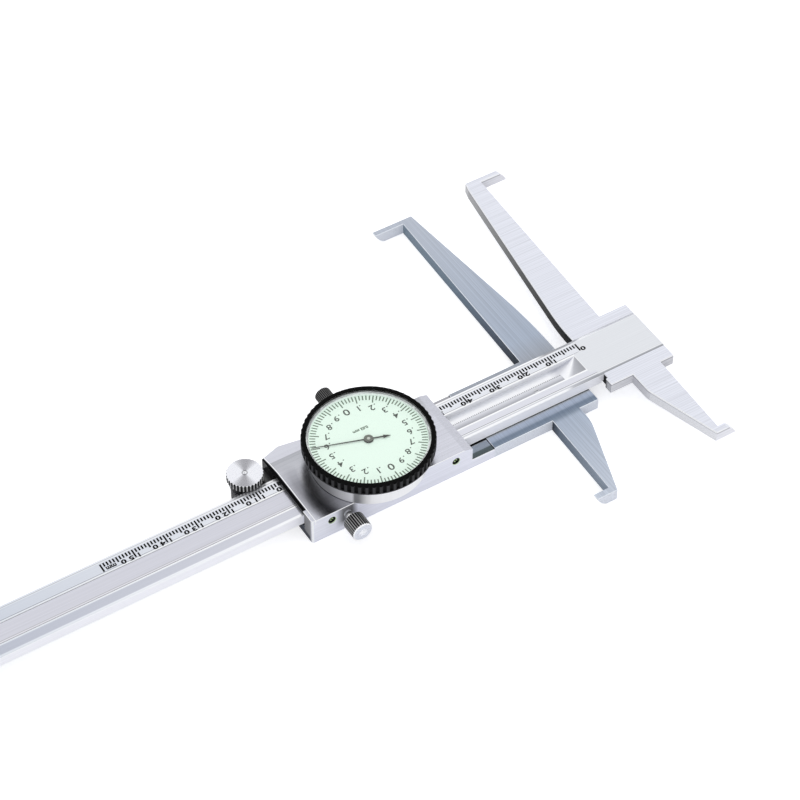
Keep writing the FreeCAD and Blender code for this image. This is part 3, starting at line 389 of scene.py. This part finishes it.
ink = new_finish("black_ink", metal=0.0, gloss=0.05)
tree = ink.node_tree
ink_shader = tree.nodes["Principled BSDF"]
speck = tree.nodes.new("ShaderNodeTexNoise")
speck.inputs["Scale"].default_value = 9000.0
own = tree.nodes.new("ShaderNodeTexCoord")
tree.links.new(own.outputs["Object"], speck.inputs["Vector"])
put(tree, ink_shader.inputs["Base Color"], share(tree, speck.outputs["Fac"], 0.0, 1.0, 0.002, 0.012))
ink_shader.inputs["Roughness"].default_value = 0.7


def slab(x0, x1, y0, y1, z0, z1):
    """A thin block of ink, from its two corners."""
    middle = ((x0 + x1) / 2, (y0 + y1) / 2, (z0 + z1) / 2)
    bpy.ops.mesh.primitive_cube_add(size=1.0, location=middle)
    block = bpy.context.active_object
    block.scale = (x1 - x0, y1 - y0, z1 - z0)
    bpy.ops.object.transform_apply(location=True, rotation=True, scale=True)
    return block


def row(piece, count, pitch):
    """The piece again and again along X."""
    array = piece.modifiers.new("row", "ARRAY")
    array.count = count
    array.use_relative_offset = False
    array.use_constant_offset = True
    array.constant_offset_displace = (pitch, 0, 0)
    bpy.ops.object.modifier_apply(modifier=array.name)
    return piece


def join(name, pieces, material, body):
    """One printed piece out of many, with its material, riding on its body."""
    bpy.ops.object.select_all(action="DESELECT")
    for piece in pieces:
        piece.select_set(True)
    bpy.context.view_layer.objects.active = pieces[0]
    if len(pieces) > 1:
        bpy.ops.object.join()
    whole = bpy.context.active_object
    whole.name = name
    whole.data.materials.clear()
    whole.data.materials.append(material)
    bpy.ops.object.select_all(action="DESELECT")
    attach(whole, body)
    return whole


def letter(text, x, y, height, widen, z0, z1, boldness=0.045):
    """A figure or word, centred on its place, upright for a reader on the side of the long jaws."""
    bpy.ops.object.text_add(location=(0, 0, 0))
    figure = bpy.context.active_object
    figure.data.body = text
    figure.data.size = 1.0
    figure.data.align_x = "CENTER"
    figure.data.resolution_u = 3
    figure.data.offset = boldness
    bpy.ops.object.convert(target="MESH")
    figure = bpy.context.active_object
    high = max(corner[1] for corner in figure.bound_box)
    low = min(corner[1] for corner in figure.bound_box)
    right = max(corner[0] for corner in figure.bound_box)
    left = min(corner[0] for corner in figure.bound_box)
    scale = height / (high - low)
    figure.data.transform(Matrix.Translation((-(left + right) / 2, -(low + high) / 2, 0)))
    figure.data.transform(Matrix.Diagonal((scale * widen, scale, 1.0, 1.0)))
    figure.data.transform(Matrix.Translation((x, y, z1)))
    thick = figure.modifiers.new("thick", "SOLIDIFY")
    thick.thickness = z1 - z0
    thick.offset = -1.0
    bpy.ops.object.modifier_apply(modifier=thick.name)
    return figure


def tick_row(middle_x, low_y, high_y, count, pitch):
    """Ticks of one length, the first at a given X, in a row along the beam."""
    low_x = middle_x - tick_width / 2
    return row(slab(low_x, low_x + tick_width, low_y, high_y, ink_bottom, ink_top), count, pitch)


ticks = [tick_row(0.0, tick_foot_y, tick_head_y, tick_count, 1 * MM),
         tick_row(5 * MM, tick_head_y, five_head_y, tick_count // 10, 10 * MM),
         tick_row(0.0, tick_head_y, ten_head_y, tick_count // 10 + 1, 10 * MM)]
join("scale_ticks", ticks, ink, "beam")

figures = [letter("0", zero_x, digit_centre_y, digit_height, zero_width, ink_bottom, ink_top)]
for number in range(10, last_number + 1, 10):
    for digit, step in zip(str(number), digit_steps):
        widen = digit_widths.get(digit, plain_digit_width)
        figures.append(letter(digit, number * MM + step, digit_centre_y, digit_height, widen,
                              ink_bottom, ink_top))
figures.append(letter("mm", unit_x, unit_y, unit_height, 1.0, ink_bottom, ink_top))
join("scale_numerals", figures, ink, "beam")


# Fixed jaws: one plate of hardened steel, ground flat on a surface grinder, whose lines run
# across the jaws. It is let into the beam's head and held by four screws from the back.
def edged(tree, z, upper, colour):
    """A side's colour, with a painted highlight along its upper edge and a thin band of painted shade
    under that.
    """
    plain = (1.0, 1.0, 1.0)
    dark = (0.5, 0.5, 0.51)
    shade = along(tree, z, [(upper - 0.85, plain), (upper - 0.75, dark), (upper - 0.55, dark),
                            (upper - 0.45, plain)])
    at_edge = share(tree, z, upper - 0.48, upper - 0.42)
    return blended(tree, at_edge, multiplied(tree, colour, shade), highlight_white)


# Black: the blackened screws' own colour, and elsewhere painted shade and shadow in gaps, holes and knurl
# grooves, and the dark reflection on the jaws' flanks.
black_and_shade = (0.004, 0.004, 0.0045)
fixed_top = (0.80, 0.82, 0.90)
fixed_head_flank = (0.62, 0.62, 0.65)

fixed_steel = new_finish("fixed_jaw_steel", metal=0.9, gloss=0.08)
tree = fixed_steel.node_tree
x, y, z = place_in_mm(tree)
# The flank towards the tail is painted as dark reflection and shade: black near the beam, lighter towards
# both tips.
flank = along(tree, y, [(-83.0, (0.52, 0.52, 0.53)), (-70.0, (0.40, 0.40, 0.40)),
                        (-55.0, (0.26, 0.26, 0.255)), (-40.0, (0.10, 0.10, 0.098)),
                        (-25.0, (0.02, 0.02, 0.019)), (-12.0, black_and_shade), (9.5, black_and_shade),
                        (10.0, (0.60, 0.60, 0.62)), (13.0, (0.66, 0.66, 0.70)),
                        (20.0, (0.74, 0.74, 0.78)), (44.0, (0.84, 0.84, 0.88))])
flank = blended(tree, toward_tail(tree), fixed_head_flank, flank)
side = along(tree, y, [(-80.0, (0.85, 0.85, 0.90)), (-70.0, (0.72, 0.72, 0.76)),
                       (9.0, (0.70, 0.70, 0.73)), (44.0, (0.88, 0.88, 0.93))])
# The relief at the jaws' root is painted black as shade.
relief = worked(tree, "MULTIPLY", share(tree, x, -0.8, -0.68), share(tree, y, 9.5, 9.3))
side = blended(tree, relief, side, black_and_shade)
jaw_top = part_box("fixed_jaw")[1].z / MM
flank = edged(tree, z, jaw_top, flank)
side = edged(tree, z, jaw_top, side)
grind(fixed_steel, by_facing(tree, fixed_top, side, flank, highlight_white), "X",
      grain=0.2, roughness=0.3, side_metal=0.05)
dress("fixed_jaw", fixed_steel)


# Screws, rivets and arbors: turned from plain steel bar, with countersunk or straight shanks.
# They hold the jaw plates, the rack, the end stop and the housing, and carry the wheels.
# Sides painted darker than tops as shade, with painted highlights on bevels.
turned_top = (0.62, 0.63, 0.66)
turned_side_shade = (0.5, 0.51, 0.54)

screw_steel = new_finish("screw_steel", metal=0.9)
tree = screw_steel.node_tree
grind(screw_steel, by_facing(tree, turned_top, turned_side_shade, turned_side_shade, highlight_white), "Z",
      grain=0.08, roughness=0.3)
for node in ("fixed_jaw_screws", "rack_screws", "end_stop_screws", "jaw_plate_screws", "cover_rivets",
             "roller_axle", "bracket_screws", "housing_screws", "bridge_screws", "drive_arbor",
             "centre_arbor"):
    dress(node, screw_steel)


# Rack: a milled strip of steel along the groove's near wall, its teeth towards the far wall,
# held down by three countersunk screws.
rack_steel = new_finish("rack_steel", metal=0.9)
tree = rack_steel.node_tree
x, y, z = place_in_mm(tree)
# The rack's top is painted with shade deepening towards the near wall and a painted highlight beside its
# teeth; the teeth are painted dark as shade, with painted highlights on their edges.
top = along(tree, y, [(0.1, (0.42, 0.43, 0.47)), (0.5, (0.42, 0.43, 0.47)), (0.6, (0.74, 0.75, 0.80)),
                      (1.6, (0.58, 0.59, 0.64)), (2.6, (0.36, 0.37, 0.41)), (3.2, (0.26, 0.27, 0.30))])
tooth_side = (0.22, 0.23, 0.25)
tooth_end = (0.2, 0.21, 0.23)
tooth_edge_highlight = (0.7, 0.7, 0.74)
grind(rack_steel, by_facing(tree, top, tooth_side, tooth_end, tooth_edge_highlight), "X",
      grain=0.10, roughness=0.32)
dress("rack", rack_steel)


# Moving jaws: a plate under the beam, ground lengthwise of the jaws and a little darker than
# the fixed ones, with the tongue that closes the slider's back.
moving_steel = new_finish("moving_jaw_steel", metal=0.9, gloss=0.08)
tree = moving_steel.node_tree
x, y, z = place_in_mm(tree)
slate = (0.42, 0.48, 0.585)
# Painted light on the top: shade under the beam, painted shadow in the slit beside it, a painted highlight
# past the slit, and a band of painted shade near the near edge. The flank towards the tail is painted dark
# as shade and dark reflection.
top = along(tree, y, [(-83.0, (0.50, 0.54, 0.62)), (-20.0, slate), (-12.5, (0.38, 0.41, 0.47)),
                      (-8.7, (0.28, 0.31, 0.36)), (6.4, black_and_shade), (7.72, black_and_shade),
                      (7.82, (0.78, 0.83, 0.88)), (8.2, (0.56, 0.63, 0.74)), (9.6, (0.44, 0.51, 0.62)),
                      (10.4, (0.18, 0.23, 0.31)), (12.1, (0.24, 0.29, 0.37)), (13.5, slate),
                      (44.0, (0.56, 0.61, 0.70))])
flank = along(tree, y, [(-83.0, (0.24, 0.31, 0.38)), (-50.0, (0.17, 0.23, 0.30)),
                        (-30.0, (0.09, 0.12, 0.17)), (-14.0, (0.02, 0.03, 0.045)),
                        (12.5, (0.03, 0.04, 0.06)), (16.0, (0.14, 0.18, 0.24)),
                        (44.0, (0.34, 0.40, 0.48))])
moving_head_flank = (0.40, 0.45, 0.53)
moving_side = (0.74, 0.77, 0.84)
moving_edge_highlight = (0.86, 0.90, 0.96)
flank = blended(tree, toward_tail(tree), moving_head_flank, flank)
grind(moving_steel, by_facing(tree, top, moving_side, flank, moving_edge_highlight), "Y",
      grain=0.18, roughness=0.3, side_metal=0.05)
dress("moving_jaw", moving_steel)


# Slider: a channel of stainless steel that runs on the beam, ground lengthwise on top and
# upright on its sides, with a long bevel at the jaw end and a lug for the thumb.
def off_axis(tree, x, y, z, axis, centre):
    """Distance from a turned piece's axis, in millimetres."""
    pairs = [(value, middle) for name, value, middle in zip("XYZ", (x, y, z), centre) if name != axis]
    squares = []
    for value, middle in pairs:
        off = worked(tree, "SUBTRACT", value, middle)
        squares.append(worked(tree, "MULTIPLY", off, off))
    return worked(tree, "SQRT", worked(tree, "ADD", squares[0], squares[1]))


dial_centre = (76.55, 0.0, 0.0)
gib_screw_x = (54.4, 96.1)
gib_screw_z = -1.7
gib_hole_radius = 1.4
slider_top = (0.66, 0.67, 0.745)
slider_bevel_shade = (0.60, 0.61, 0.68)
slider_side = (0.82, 0.83, 0.92)
slider_jaw_end = (0.45, 0.46, 0.50)
case_mirrored = (0.10, 0.10, 0.11)

slider_steel = new_finish("slider_steel", metal=1.0, gloss=0.1)
tree = slider_steel.node_tree
x, y, z = place_in_mm(tree)
# The top is painted darker towards the lug, with a line of painted shade at its step; the bevel at the jaw
# end is painted a little darker as shade.
top = along(tree, y, [(-18.5, (0.68, 0.69, 0.76)), (-13.25, (0.66, 0.67, 0.74)),
                      (-13.2, (0.40, 0.41, 0.45)), (-12.9, (0.46, 0.47, 0.51)),
                      (-9.0, (0.56, 0.57, 0.62)), (-3.0, slider_top), (12.1, slider_top)])
top = blended(tree, share(tree, x, 51.9, 51.5), top, slider_bevel_shade)
# The arm's recess under the beam is painted dark as shade.
arm = along(tree, y, [(-12.8, (0.40, 0.40, 0.43)), (-8.7, (0.34, 0.34, 0.36)),
                      (7.7, (0.40, 0.45, 0.51)), (9.9, (0.34, 0.39, 0.45)),
                      (10.3, (0.10, 0.125, 0.135)), (12.1, (0.08, 0.10, 0.11))])
top = blended(tree, share(tree, z, -3.0, -4.0), top, arm)
# Painted reflection of the dark case on the slider's top, round the housing on the near side.
out = off_axis(tree, x, y, z, "Z", dial_centre)
off_x = worked(tree, "SUBTRACT", x, dial_centre[0])
turned_to = worked(tree, "DIVIDE", worked(tree, "ADD", off_x, worked(tree, "MULTIPLY", y, 0.4)), out)
mirror_side = worked(tree, "MULTIPLY", share(tree, turned_to, 0.72, 0.95), share(tree, out, 27.5, 25.5))
mirrored = along(tree, out, [(20.5, (0.36, 0.36, 0.37)), (21.6, case_mirrored),
                             (23.3, case_mirrored), (27.5, slider_top)])
top = blended(tree, worked(tree, "MULTIPLY", mirror_side, 0.6), top, mirrored)
# Painted shadow on the near side below the clamp screw.
clamp_shadow = along(tree, x, [(84.0, slider_side), (87.5, slider_side), (89.5, (0.16, 0.16, 0.17)),
                           (92.5, (0.22, 0.22, 0.23)), (95.0, (0.80, 0.81, 0.89)),
                           (98.0, (0.84, 0.85, 0.93))])
side = blended(tree, share(tree, z, -6.6, -4.0), slider_side, clamp_shadow)
# The end faces are painted dark as shade, black at the tail beside the beam.
tail_end_shade = along(tree, y, [(-20.0, black_and_shade), (7.0, black_and_shade), (7.4, (0.02, 0.02, 0.022)),
                           (7.9, (0.20, 0.20, 0.205)), (11.0, (0.30, 0.30, 0.31)),
                           (11.3, (0.55, 0.55, 0.62))])
end = blended(tree, share(tree, x, 60.0, 80.0), slider_jaw_end, tail_end_shade)
colour = by_facing(tree, top, side, end, highlight_white)
# A painted highlight along the tail's top edge, and painted shadow beyond it over the bevel and end.
tail_x = worked(tree, "ADD", x, worked(tree, "MULTIPLY", share(tree, y, -18.0, -9.0), 0.6))
tail_highlight = worked(tree, "MULTIPLY", between(tree, tail_x, 101.95, 102.2), share(tree, z, -0.5, -0.3))
colour = blended(tree, tail_highlight, colour, highlight_white)
tail_shadow = worked(tree, "MULTIPLY", share(tree, tail_x, 102.25, 102.35), share(tree, y, 7.3, 7.0))
colour = blended(tree, tail_shadow, colour, black_and_shade)
# Painted shade inside the gib screw holes, with a pale green ring round their rims.
for hole_x in gib_screw_x:
    out = off_axis(tree, x, y, z, "Y", (hole_x, 0.0, gib_screw_z))
    inside = share(tree, out, gib_hole_radius, gib_hole_radius - 0.07)
    inside = worked(tree, "MULTIPLY", inside, share(tree, y, 7.0, 7.5))
    hole_shade_and_rim = along(tree, out, [(1.0, black_and_shade), (1.15, black_and_shade), (1.22, (0.55, 0.70, 0.45)),
                             (gib_hole_radius, (0.80, 0.88, 0.72))])
    colour = blended(tree, inside, colour, hole_shade_and_rim)
grind(slider_steel, colour, "X", grain=0.09, roughness=0.24, side_metal=0.05)
dress("slider_frame", slider_steel)


# Gib screws: two blackened set screws in the slider's near side, with green painted highlights round
# their slots. They press the brass strip against the beam.
gib_screw_steel = new_finish("blackened_steel", metal=0.8, gloss=0.1)
tree = gib_screw_steel.node_tree
x, y, z = place_in_mm(tree)
second = worked(tree, "MULTIPLY", share(tree, x, 75.2, 75.3), gib_screw_x[1] - gib_screw_x[0])
nearest_x = worked(tree, "ADD", second, gib_screw_x[0])
out = off_axis(tree, x, y, z, "Y", (nearest_x, 0.0, gib_screw_z))
# Painted green highlights in rings round each screw's slot.
green_slot_highlights = along(tree, out, [(0.25, black_and_shade), (0.35, (0.55, 0.75, 0.35)), (0.5, (0.30, 0.42, 0.20)),
                          (0.62, black_and_shade)])
green_edge = (0.2, 0.28, 0.2)
grind(gib_screw_steel, by_facing(tree, black_and_shade, green_slot_highlights, black_and_shade, green_edge), "Z",
      grain=0.1, roughness=0.3, side_metal=0.05)
dress("gib_screws", gib_screw_steel)


# Roller bracket and end stop: milled from the same steel as the slider. The bracket is painted dark as
# shade, with the roller's painted shadow on it and a painted highlight along its end edge. The bracket's
# tongue is let into the slider's end, and screws from below hold it.
bracket_steel = new_finish("milled_steel", metal=0.9, gloss=0.1)
tree = bracket_steel.node_tree
x, y, z = place_in_mm(tree)
roller_shadow = (0.01, 0.01, 0.01)
bracket_side_shade = (0.03, 0.03, 0.032)
bracket_edge_highlight = (0.5, 0.5, 0.53)
# The bracket's top: painted shade beside the slider, the roller's painted shadow, a painted highlight at
# its end edge.
top = along(tree, x, [(102.7, (0.10, 0.10, 0.105)), (104.2, (0.16, 0.16, 0.165)), (105.0, roller_shadow),
                      (113.0, roller_shadow), (113.4, (0.45, 0.45, 0.48)), (114.6, bracket_edge_highlight)])
grind(bracket_steel, by_facing(tree, top, bracket_side_shade, bracket_side_shade, bracket_edge_highlight), "X",
      grain=0.1, roughness=0.35)
dress("roller_bracket", bracket_steel)
dress("beam_end_stop", screw_steel)


# Rack cover: a strip of fine brushed steel sheet, rolled over a little along its edges, which are painted
# with shade and highlights. Two rivets hold it to the slider, and it keeps swarf out of the groove.
strip_steel = new_finish("strip_steel", metal=0.9)
tree = strip_steel.node_tree
x, y, z = place_in_mm(tree)
strip_top = (0.66, 0.665, 0.735)
strip_shade_line = (0.42, 0.42, 0.45)
strip_side_shade = (0.2, 0.2, 0.22)
strip_end = (0.4, 0.4, 0.43)
strip_edge_highlight = (0.9, 0.9, 0.93)
# Along the edges: painted shade at the far edge, and a shade line and a lighter band at the near one.
top = along(tree, y, [(-3.15, (0.25, 0.25, 0.27)), (-3.0, strip_top), (2.35, strip_top),
                      (2.4, strip_shade_line), (2.5, strip_shade_line), (2.6, (0.78, 0.78, 0.83)),
                      (2.95, (0.74, 0.74, 0.80)), (3.05, (0.45, 0.45, 0.48)), (3.15, strip_end)])
grind(strip_steel, by_facing(tree, top, strip_side_shade, strip_end, strip_edge_highlight), "X",
      grain=0.08, roughness=0.3)
dress("rack_cover", strip_steel)


# Clamp screw, lock screw and thumb roller: turned steel with pressed knurls, painted with shade in
# their grooves and with highlights on their ridges and on their turned rims.
camera_heading = (0.528, 0.849)


def turned_face(tree, x, y, out, centre, plain, wedge):
    """A turned face with a painted reflection: darker in two wedges along the camera's heading, with a
    centre mark.
    """
    off_x = worked(tree, "MULTIPLY", worked(tree, "SUBTRACT", x, centre[0]), camera_heading[0])
    off_y = worked(tree, "MULTIPLY", worked(tree, "SUBTRACT", y, centre[1]), camera_heading[1])
    toward = worked(tree, "ABSOLUTE", worked(tree, "DIVIDE", worked(tree, "ADD", off_x, off_y), out))
    sheen = blended(tree, share(tree, toward, 0.70, 0.99), plain, wedge)
    mark = along(tree, out, [(0.0, (0.95, 0.95, 0.95)), (0.45, (0.9, 0.9, 0.9)), (0.6, (0.5, 0.5, 0.5)),
                             (0.85, (0.55, 0.55, 0.55)), (1.0, (1.0, 1.0, 1.0))])
    return multiplied(tree, sheen, mark)


def knurled(name, axis, centre, radius, depth, face, body, ridge_highlight_grey=0.85):
    """Steel with painted highlights on a knurl's ridges and painted shade in its grooves."""
    material = new_finish(name, 0.9, gloss=0.1)
    tree = material.node_tree
    x, y, z = place_in_mm(tree)
    out = off_axis(tree, x, y, z, axis, centre)
    groove = radius - depth
    rim = along(tree, out, [(groove - 0.3, body), (groove - 0.02, body), (groove, black_and_shade),
                            (groove + depth * 0.5, (0.02, 0.02, 0.02)),
                            (groove + depth * 0.85, (ridge_highlight_grey / 2,) * 3),
                            (radius, (ridge_highlight_grey,) * 3)])
    # Painted reflection wedges on the roller's face, a painted highlight at the middle of a screw's end,
    # and painted highlights on the chamfers.
    if axis == "Z":
        face = turned_face(tree, x, y, out, centre, face, (0.40, 0.40, 0.43))
    else:
        face = along(tree, out, [(0.0, highlight_white), (0.8, (0.93, 0.94, 0.98)), (1.6, face),
                                 (radius, face)])
    to_axis = facing(tree)["XYZ".index(axis)]
    colour = blended(tree, share(tree, to_axis, 0.2, 0.4), rim, highlight_white)
    colour = blended(tree, share(tree, to_axis, 0.85, 0.95), colour, face)
    grind(material, colour, axis, grain=0.02, roughness=0.28, dent=0.02)
    return material


screw_face = (0.75, 0.77, 0.84)
screw_body = (0.35, 0.35, 0.36)
clamp_centre = (91.0, 0.0, -1.7)
clamp_steel = knurled("clamp_screw_steel", "Y", clamp_centre, radius=3.2, depth=0.16,
                      face=screw_face, body=screw_body)
dress("clamp_screw", clamp_steel)
lock_centre = (dial_centre[0], 0.0, 4.7)
lock_steel = knurled("lock_screw_steel", "Y", lock_centre, radius=2.5, depth=0.16,
                     face=screw_face, body=screw_body, ridge_highlight_grey=0.3)
dress("bezel_lock_screw", lock_steel)
roller_face = (0.86, 0.87, 0.92)
# The roller's drum under its knurled rim is painted black as shadow.
roller_drum_shadow = (0.01, 0.01, 0.011)
roller_centre = (109.85, -13.4, 0.0)
roller_steel = knurled("thumb_roller_steel", "Z", roller_centre, radius=5.45, depth=0.3,
                       face=roller_face, body=roller_drum_shadow)
dress("thumb_roller", roller_steel)


# Dial housing: a turned and plated case, bright as chrome. The bridge, bushes and wheels in it
# are brass, milled and turned, and the arbors are steel.
def plain_finish(name, colour, metal, roughness, mottle=0.05, scale=1500.0):
    """A finish of one colour with a fine unevenness in tone and gloss."""
    material = new_finish(name, metal)
    tree = material.node_tree
    shader = tree.nodes["Principled BSDF"]
    own = tree.nodes.new("ShaderNodeTexCoord")
    cloud = tree.nodes.new("ShaderNodeTexNoise")
    cloud.inputs["Scale"].default_value = scale
    tree.links.new(own.outputs["Object"], cloud.inputs["Vector"])
    darker = tuple(c * (1 - mottle) for c in colour)
    lighter = tuple(min(1.0, c * (1 + mottle)) for c in colour)
    put(tree, shader.inputs["Base Color"], blended(tree, cloud.outputs["Fac"], darker, lighter))
    shine = share(tree, cloud.outputs["Fac"], 0.0, 1.0, roughness * 0.85, roughness * 1.15)
    put(tree, shader.inputs["Roughness"], shine)
    return material


plated = new_finish("plated_metal", metal=0.9, gloss=0.3)
tree = plated.node_tree
x, y, z = place_in_mm(tree)
off_x = worked(tree, "SUBTRACT", x, dial_centre[0])
bearing = worked(tree, "MULTIPLY", worked(tree, "ARCTAN2", y, off_x), 180 / math.pi)
# The housing's tones round its axis are painted light, shade and reflection: dark towards the tail, bright
# on the near side.
turned = along(tree, bearing, [(-180.0, (0.55, 0.55, 0.57)), (-90.0, (0.80, 0.80, 0.83)),
                               (-20.0, (0.10, 0.10, 0.10)), (0.0, (0.14, 0.14, 0.14)),
                               (18.0, (0.26, 0.26, 0.27)), (34.0, (0.60, 0.60, 0.62)),
                               (43.0, (0.70, 0.70, 0.73)), (45.0, (0.24, 0.24, 0.245)),
                               (49.0, (0.28, 0.28, 0.29)), (56.0, (0.95, 0.95, 0.96)),
                               (118.0, (0.96, 0.96, 0.98)), (135.0, (0.60, 0.60, 0.63)),
                               (180.0, (0.55, 0.55, 0.57))])
grind(plated, by_facing(tree, turned, turned, turned, turned), "Z",
      grain=0.03, roughness=0.3, side_metal=0.35)
dress("dial_housing", plated)
brass = plain_finish("brass", (0.72, 0.55, 0.24), metal=1.0, roughness=0.3)
for node in ("gib_strip", "movement_bridge", "bridge_pillars", "arbor_bushes", "drive_gear",
             "backlash_gear", "gear_collar"):
    dress(node, brass)
blued = plain_finish("blued_spring_steel", (0.12, 0.13, 0.2), metal=1.0, roughness=0.3)
dress("backlash_spring", blued)


# Dial face: a thin metal disc sprayed pale green, printed with a hundred divisions of 0.02 mm
# and with figures in tenths, twice round. It turns with the bezel.
dial_axis = Vector(dial_centre) * MM
face_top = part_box("dial_face")[1].z
dial_ink_bottom = face_top + 0.002 * MM
dial_ink_top = face_top + 0.012 * MM
dial_paint = plain_finish("dial_paint", (0.83, 0.99, 0.87), metal=0.0, roughness=0.5, mottle=0.01)
dress("dial_face", dial_paint)
dial_ink = plain_finish("dial_ink", (0.03, 0.045, 0.028), metal=0.0, roughness=0.6)
division_ink = plain_finish("division_ink", (0.09, 0.14, 0.09), metal=0.0, roughness=0.6)


def ring_of(piece, count):
    """The piece copied round the dial's axis."""
    bpy.ops.object.mode_set(mode="EDIT")
    bpy.ops.mesh.select_all(action="SELECT")
    bpy.ops.mesh.spin(steps=count, dupli=True, angle=2 * math.pi, center=dial_axis, axis=(0, 0, 1))
    bpy.ops.mesh.select_all(action="SELECT")
    bpy.ops.mesh.remove_doubles(threshold=0.000001)
    bpy.ops.object.mode_set(mode="OBJECT")
    return piece


division_outer = 16.9 * MM
division_inner = 15.2 * MM
tenth_inner = 14.2 * MM
division_width = 0.36 * MM
division_count = 100
tenth_count = 20
division_left = dial_axis.x - division_width / 2
division_right = dial_axis.x + division_width / 2
divisions = [ring_of(slab(division_left, division_right, division_inner, division_outer,
                          dial_ink_bottom, dial_ink_top), division_count),
             ring_of(slab(division_left, division_right, tenth_inner, division_inner,
                          dial_ink_bottom, dial_ink_top), tenth_count)]
join("dial_divisions", divisions, division_ink, "bezel")

figure_circle = 12.15 * MM
figure_height = 2.1 * MM
zero_height = 2.45 * MM
figure_boldness = 0.015
figure_widen = 1.08
zero_widen = 1.2
note_y = -4.4 * MM
note_height = 1.1 * MM
dot_size = 0.36 * MM
dot_gap = 0.45 * MM
figures = []
for tenth in range(tenth_count):
    angle = math.radians(90 - 360 / tenth_count * tenth)
    figure_x = dial_axis.x + figure_circle * math.cos(angle)
    figure_y = figure_circle * math.sin(angle)
    digit = tenth % 10
    height = figure_height if digit else zero_height
    widen = figure_widen if digit else zero_widen
    figure = letter(str(digit), figure_x, figure_y, height, widen, dial_ink_bottom, dial_ink_top,
                    figure_boldness)
    figures.append(figure)
    if digit:
        left = min(corner[0] for corner in figure.bound_box) - dot_gap
        low = figure_y - height / 2
        figures.append(slab(left - dot_size, left, low, low + dot_size, dial_ink_bottom, dial_ink_top))
join("dial_numerals", figures, dial_ink, "bezel")
note = letter("0.02 mm", dial_axis.x, note_y, note_height, 1.0, dial_ink_bottom, dial_ink_top)
join("dial_note", [note], division_ink, "bezel")


# Spacer ring, window and bezel: the white ring keeps the clear window off the dial, and the
# black moulded bezel with a scalloped grip holds them and turns on the housing.
ring_plastic = plain_finish("ring_plastic", (0.93, 0.97, 0.95), metal=0.0, roughness=0.4, mottle=0.01)
dress("spacer_ring", ring_plastic)
bezel_plastic = new_finish("black_plastic", metal=0.0, gloss=0.03)
tree = bezel_plastic.node_tree
x, y, z = place_in_mm(tree)
out = off_axis(tree, x, y, z, "Z", dial_centre)
moulded_black = (0.003, 0.003, 0.003)
# The grip's outer ridges get a painted highlight of grey; level faces stay black.
rib_highlights = along(tree, out, [(17.8, moulded_black), (19.1, moulded_black), (19.3, (0.02, 0.02, 0.021)),
                         (19.4, (0.045, 0.045, 0.047))])
to_z = facing(tree)[2]
moulded = blended(tree, share(tree, to_z, 0.3, 0.5), rib_highlights, moulded_black)
bezel_shader = tree.nodes["Principled BSDF"]
put(tree, bezel_shader.inputs["Base Color"], moulded)
bezel_shader.inputs["Roughness"].default_value = 0.28
dress("bezel", bezel_plastic)
window = plain_finish("clear_plastic", (0.97, 0.99, 0.98), metal=0.0, roughness=0.03, mottle=0.01)
window.node_tree.nodes["Principled BSDF"].inputs["Alpha"].default_value = 0.04
dress("crystal", window)


# Pointer: a thin dark hand with a counterweight, stamped from sheet and lacquered. Its grey hub
# is pressed on the centre arbor.
pointer_paint = new_finish("pointer_paint", metal=0.1, gloss=0.1)
tree = pointer_paint.node_tree
x, y, z = place_in_mm(tree)
out = off_axis(tree, x, y, z, "Z", dial_centre)
hub = along(tree, out, [(0.45, (0.55, 0.58, 0.52)), (0.55, (0.10, 0.11, 0.09)), (1.2, (0.14, 0.15, 0.125)),
                        (1.3, (0.03, 0.03, 0.025)), (1.5, (0.012, 0.012, 0.008))])
grind(pointer_paint, hub, "Z", grain=0.05, roughness=0.45, side_metal=0.1)
dress("pointer", pointer_paint)
